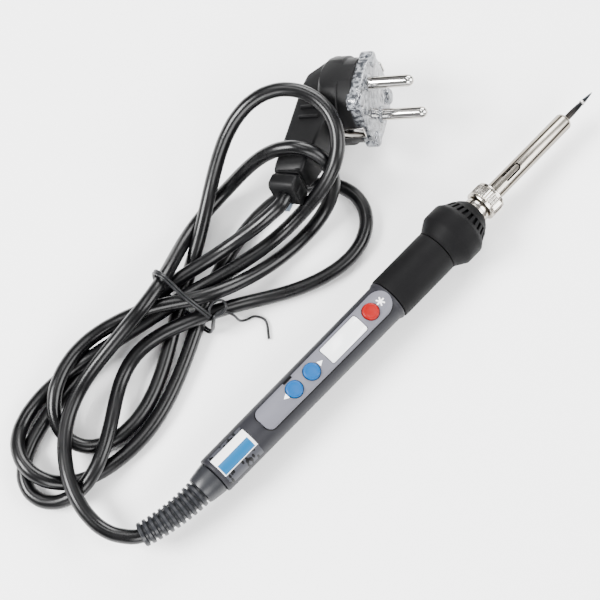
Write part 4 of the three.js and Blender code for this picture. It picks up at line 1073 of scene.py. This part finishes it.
class IRON_OT_hot_end(bpy.types.Operator):
    """The ferrule, the knurled nut, the sleeve and the soldering tip"""

    bl_idname = "iron.hot_end"
    bl_label = "Hot end"

    def execute(self, context):
        sizes = context.scene.iron_sizes
        nickel = nickel_plate("bright_nickel_plate", linear("#C9C4BC"))
        ferrule = [
            (135, 3.4), (135, 6.9), (138, 6.9), (138, 5.45), (COLLAR_END + 0.5, 5.45),
            (COLLAR_END + 0.7, 5.25), (COLLAR_END + 1.1, 5.25), (COLLAR_END + 1.3, 5.45),
            (NUT_START - 0.4, 5.45), (NUT_START - 0.1, 5.3), (NUT_START, 5.1),
            (NUT_START + 0.1, 4.8), (NUT_END - 3.5, 4.8), (NUT_END - 3.5, 3.4),
        ]
        piece(turned(ferrule, 72), "ferrule_skin", nickel, "iron", ("front_ferrule",))
        self.nut(sizes, nickel)
        self.sleeve()
        self.tip()
        return {"FINISHED"}

    def nut(self, sizes, nickel):
        start = NUT_START + 0.3
        profile = [
            (start, 5.2), (start, 6.2), (start + 0.2, 6.55), (start + 0.45, 6.7), (start + 0.95, 6.7),
            (start + 1.2, 6.5), (start + 1.35, 6.1), (start + 1.65, 6.1), (start + 1.95, 6.66),
            (NUT_END - 1.95, 6.66), (NUT_END - 1.65, 6.15), (NUT_END - 1.3, 6.15), (NUT_END - 1.1, 6.4),
            (NUT_END - 0.6, 6.35), (NUT_END - 0.2, 5.9), (NUT_END, 5.4), (NUT_END, 3.95),
            (NUT_END - 1.6, 3.95),
            (NUT_END - 1.6, 5.2),
        ]
        steps = sizes.knurls * 4
        bm = turned(profile, steps)
        low, high = start + 1.8, NUT_END - 1.8
        for vert in bm.verts:
            offset = vert.co - along(0)
            station, radius = offset.x / MM, math.hypot(offset.y, offset.z) / MM
            if low < station < high and radius > 6.4:
                turn = math.atan2(offset.y, offset.z) % FULL_TURN
                if round(turn / FULL_TURN * steps) % 4 in (0, 1):
                    across = Vector((0, offset.y, offset.z)).normalized()
                    vert.co -= across * 0.42 * MM
        piece(bm, "knurled_nut", nickel, "nut", ("retaining_nut",), math.radians(25))

    def sleeve(self):
        steel = drawn_steel("drawn_stainless_sleeve", linear("#9C968D"))
        bm = copy_of_node("tip_sleeve")
        piece(bm, "sleeve_skin", steel, "barrel", ("tip_sleeve",), math.radians(28))

    def tip(self):
        plating = tinned_tip("iron_plated_copper_tip")
        end = IRON_LENGTH
        profile = [
            (end - 19.4, 0), (end - 19.4, 2.9), (end - 18.1, 2.9), (end - 17.4, 1.3),
            (end - 12.6, 1.28), (end - 8.1, 1.02), (end - 7.9, 0.92), (end - 7.1, 0.92),
            (end - 6.9, 1.2), (end - 6.3, 1.2), (end - 6.1, 1.05), (end - 1.5, 0.42),
            (end - 0.5, 0.22), (end - 0.1, 0.1), (end, 0),
        ]
        piece(
            turned(profile, 40, False), "tinned_tip", plating, "barrel", ("soldering_tip",)
        )


class IRON_OT_plug(bpy.types.Operator):
    """The angled plug: body, clear insert, pins, earth contacts and film tab"""

    bl_idname = "iron.plug"
    bl_label = "Plug"

    def execute(self, context):
        colours = context.scene.iron_colours
        black = moulded_abs("moulded_pvc_plug", colours.plug[:], 0.5, (0.42, 0.58))
        self.body(black)
        self.insert()
        self.metal()
        self.tab()
        return {"FINISHED"}

    def body(self, black):
        straight = merged(self.head(), self.handle(), *self.ribs())
        place(straight, plug_frame())
        leaning = merged(*self.boot())
        place(leaning, neck_frame())
        bm = merged(straight, leaning)
        piece(bm, "plug_shell", black, "iron", ("plug_body",), math.radians(32))

    def head(self):
        """A turned drum with flats for the socket's guides."""
        profile = [
            (0, -19), (14.8, -19), (16.6, -18.3), (17.7, -17), (18, -15.6), (18, -10.2),
            (17.6, -9.8), (17.1, -9.7), (17.1, -4.5), (16.8, -4.3), (0, -4.3),
        ]
        points = [Vector((r, 0, z)) * MM for r, z in profile]
        bm = spun(points, (0, 0, 0), (0, 0, 1), 96, False)
        for side in (-1, 1):
            self.trim(bm, (0, side * 16.6, 0), (0, side, 0))
        round_edges(bm, 0.35 * MM, math.radians(30))
        return bm

    def trim(self, bm, point, normal):
        """Cuts away what is beyond a plane, in millimetres, and closes the cut."""
        everything = list(bm.verts) + list(bm.edges) + list(bm.faces)
        cut = bmesh.ops.bisect_plane(
            bm, geom=everything, plane_co=Vector(point) * MM, plane_no=normal, clear_outer=True
        )
        edges = [e for e in cut["geom_cut"] if isinstance(e, bmesh.types.BMEdge)]
        bmesh.ops.contextual_create(bm, geom=edges)
        bmesh.ops.recalc_face_normals(bm, faces=bm.faces)

    def handle(self):
        """A tapered block that leans back from the face."""
        outline = [(-15, -11.5), (2, -12.5), (22, -8.8), (37, -6.6), (40, -5.2), (40, 5.2), (37, 6.6),
                   (22, 8.8), (2, 12.5), (-15, 11.5)]
        bm = slab(outline, -50, 0)
        lean = Vector((math.sin(PLUG_TILT), 0, math.cos(PLUG_TILT)))
        self.trim(bm, (0, 0, -13.6), (0, 0, 1))
        self.trim(bm, (12, 0, -13.6), (0.246, 0, 0.969))
        self.trim(bm, (-5, 0, -PLUG_BACK), -lean)
        self.trim(bm, (-5, 0, -PLUG_BACK), (-0.689, 0, -0.725))
        round_edges(bm, 1.5 * MM, math.radians(30), 4)
        return bm

    def ribs(self):
        """Finger grooves stand as pairs of short bars on both sides of the handle."""
        made = []
        for side in (-1, 1):
            for x in (12, 16.5):
                reach = 12.5 - (x - 2) * 0.185
                bar = block((x - 0.7, side * reach - 1.2, -26), (x + 0.7, side * reach + 1.2, -17.5))
                round_edges(bar, 0.5 * MM)
                made.append(bar)
        return made

    def boot(self):
        """The collar at the lead's end, with short flexing fins between it and the handle."""
        end = PLUG_REACH
        collar = slab(
            [(end - 7.5, -5), (end - 6, -6.4), (end - 1.6, -6.6), (end, -4.6), (end, 4.6),
             (end - 1.6, 6.6), (end - 6, 6.4), (end - 7.5, 5)],
            -5.8, 5.8,
        )
        round_edges(collar, 1.2 * MM, math.radians(30), 3)
        ridge = block((end - 5.2, -2.2, 5.4), (end - 0.8, 2.2, 6.5))
        round_edges(ridge, 0.4 * MM)
        made = [collar, ridge]
        for i in range(3):
            x = end - 12.6 + 1.9 * i
            fin = block((x, -5.6, -4.5), (x + 0.95, 5.6, 5.4 - 0.2 * i))
            round_edges(fin, 0.3 * MM)
            made.append(fin)
        return made

    def insert(self):
        """The clear face: four broad lobes with gaps for the guides and the earth contacts."""
        clear = clear_polycarbonate("clear_polycarbonate_insert")
        outline = []
        for i in range(96):
            turn = FULL_TURN * i / 96
            radius = 16.3 - 1.1 * math.cos(4 * turn)
            outline.append((radius * math.cos(turn), radius * math.sin(turn)))
        disc = slab(outline, -6, -0.1)
        round_edges(disc, 0.5 * MM, math.radians(50))
        parts = [disc]
        for side in (-1, 1):
            for across in (-1, 1):
                lobe = [
                    (side * 11.2 + 3.4 * math.cos(FULL_TURN * i / 32),
                     across * 11.2 + 3.4 * math.sin(FULL_TURN * i / 32))
                    for i in range(32)
                ]
                stud = slab(lobe, -5, 0.5)
                round_edges(stud, 0.9 * MM, math.radians(50), 3)
                parts.append(stud)
            rim = [
                (3.6 * math.cos(FULL_TURN * i / 32), side * 9.5 + 3.6 * math.sin(FULL_TURN * i / 32))
                for i in range(32)
            ]
            collar = slab(rim, -5, 0.4)
            round_edges(collar, 0.35 * MM, math.radians(50))
            parts.append(collar)
        bm = merged(*parts)
        place(bm, plug_frame())
        piece(bm, "plug_face_insert", clear, "iron", ("plug_insert",))

    def metal(self):
        nickel = nickel_plate("polished_nickel_pins", linear("#D8D6D3"), (0.08, 0.16))
        for number, side in ((1, -1), (2, 1)):
            profile = [
                (0, -4), (2.4, -4), (2.4, 16.4), (2.3, 17.1), (2.0, 17.9), (1.45, 18.55),
                (0.8, 18.9), (0, 19),
            ]
            points = [Vector((r, side * 9.5, z)) * MM for r, z in profile]
            bm = spun(points, (0, side * 9.5 * MM, 0), (0, 0, 1), 48, False)
            place(bm, plug_frame())
            piece(bm, f"round_pin_{number}", nickel, "iron", (f"plug_pin_{number}",))
            x = side * 17.4
            strip = block((x - 0.5, -2.6, -13), (x + 0.5, 2.6, -0.8))
            round_edges(strip, 0.3 * MM)
            place(strip, plug_frame())
            piece(strip, f"earth_strip_{number}", nickel, "iron", (f"earth_clip_{number}",))

    def tab(self):
        film, tree, shader = finish_named(
            "frosted_film_tab", linear("#8E99A8"), 0.35, IOR=1.5, Transmission_Weight=0.25
        )
        grained(tree, shader, 0.4, 0.02, linear("#8E99A8"), 0.1, (0.3, 0.45))
        bm = block((PLUG_REACH - 8, 6.3, -5), (PLUG_REACH + 2, 7.2, 0.5))
        round_edges(bm, 0.3 * MM)
        place(bm, neck_frame())
        piece(bm, "film_tab", film, "iron", ("plug_tag",))


class IRON_OT_inner_parts(bpy.types.Operator):
    """Finishes for the parts inside the handle"""

    bl_idname = "iron.inner_parts"
    bl_label = "Inner parts"

    def execute(self, context):
        black = moulded_abs("moulded_epoxy_black", linear("#151517"))
        white = moulded_abs("moulded_white_nylon", linear("#E2E1DC"))
        # painted shade: the heater's alumina, pale in itself, is made near black for the shade inside the
        # sleeve's cut
        ceramic = moulded_abs("alumina_painted_dark_as_shade", linear("#12110F"), 0.2, (0.3, 0.4))
        finishes = {
            "down_plunger": white, "up_plunger": white, "red_plunger": white,
            "down_switch": black, "up_switch": black, "red_switch": black,
            "display_module": moulded_abs("display_glass", linear("#C8CCCB"), 0.3, (0.1, 0.2)),
            "circuit_board": moulded_abs("solder_mask_green", linear("#2F7A3C"), 0.4, (0.25, 0.35)),
            "film_capacitor": moulded_abs("epoxy_dipped_yellow", linear("#D8A83A")),
            "triac": black, "microcontroller": black, "ceramic_heater": ceramic,
            "cord_clamp": black,
            "cord_clamp_screw_1": bpy.data.materials["bright_nickel_plate"],
            "cord_clamp_screw_2": bpy.data.materials["bright_nickel_plate"],
            "live_wire": extruded_pvc("brown_pvc_wire", linear("#6B3B22")),
            "neutral_wire": extruded_pvc("blue_pvc_wire", linear("#2A5FB8")),
            "earth_wire": extruded_pvc("green_pvc_wire", linear("#4F9A3A")),
            "heater_lead_1": soft_grip("woven_glass_sleeving", linear("#DAD7CF")),
        }
        finishes["heater_lead_2"] = finishes["heater_lead_1"]
        for name, material in finishes.items():
            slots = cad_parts[name].data.materials
            slots.clear()
            slots.append(material)
        return {"FINISHED"}


class IRON_OT_declare(bpy.types.Operator):
    """Works out the end point of the strain relief's centre line; the result is not kept"""

    bl_idname = "iron.declare"
    bl_label = "Declare the lead"

    def execute(self, context):
        boot_point(-BOOT_GAP - BOOT_COLLAR - BOOT_FLEX)
        return {"FINISHED"}


STEPS = (
    IRON_OT_stage,
    IRON_OT_lead,
    IRON_OT_tie,
    IRON_OT_strain_relief,
    IRON_OT_handle,
    IRON_OT_panel,
    IRON_OT_keys,
    IRON_OT_grip,
    IRON_OT_hot_end,
    IRON_OT_plug,
    IRON_OT_inner_parts,
    IRON_OT_declare,
)


class IRON_PT_sidebar(bpy.types.Panel):
    """Lists the iron's pieces, in the order they are built"""

    bl_idname = "IRON_PT_sidebar"
    bl_label = "Soldering iron"
    bl_space_type = "VIEW_3D"
    bl_region_type = "UI"
    bl_category = "Iron"

    def draw(self, context):
        scene, layout = context.scene, self.layout
        for group in (scene.iron_sizes, scene.iron_cord, scene.iron_colours, scene.iron_stage):
            box = layout.box()
            for name in group.__annotations__:
                box.prop(group, name)
        for step in STEPS:
            layout.operator(step.bl_idname)


GROUPS = {
    "iron_sizes": IronSizes,
    "iron_cord": CordSizes,
    "iron_colours": Colours,
    "iron_stage": StageSettings,
}


def register():
    for group in GROUPS.values():
        bpy.utils.register_class(group)
    for step in STEPS:
        bpy.utils.register_class(step)
    bpy.utils.register_class(IRON_PT_sidebar)
    for name, group in GROUPS.items():
        setattr(bpy.types.Scene, name, PointerProperty(type=group))


def unregister():
    for name in GROUPS:
        delattr(bpy.types.Scene, name)
    bpy.utils.unregister_class(IRON_PT_sidebar)
    for step in reversed(STEPS):
        bpy.utils.unregister_class(step)
    for group in reversed(list(GROUPS.values())):
        bpy.utils.unregister_class(group)


def main():
    register()
    for step in STEPS:
        family, name = step.bl_idname.split(".")
        getattr(getattr(bpy.ops, family), name)()


if __name__ == "__main__":
    main()
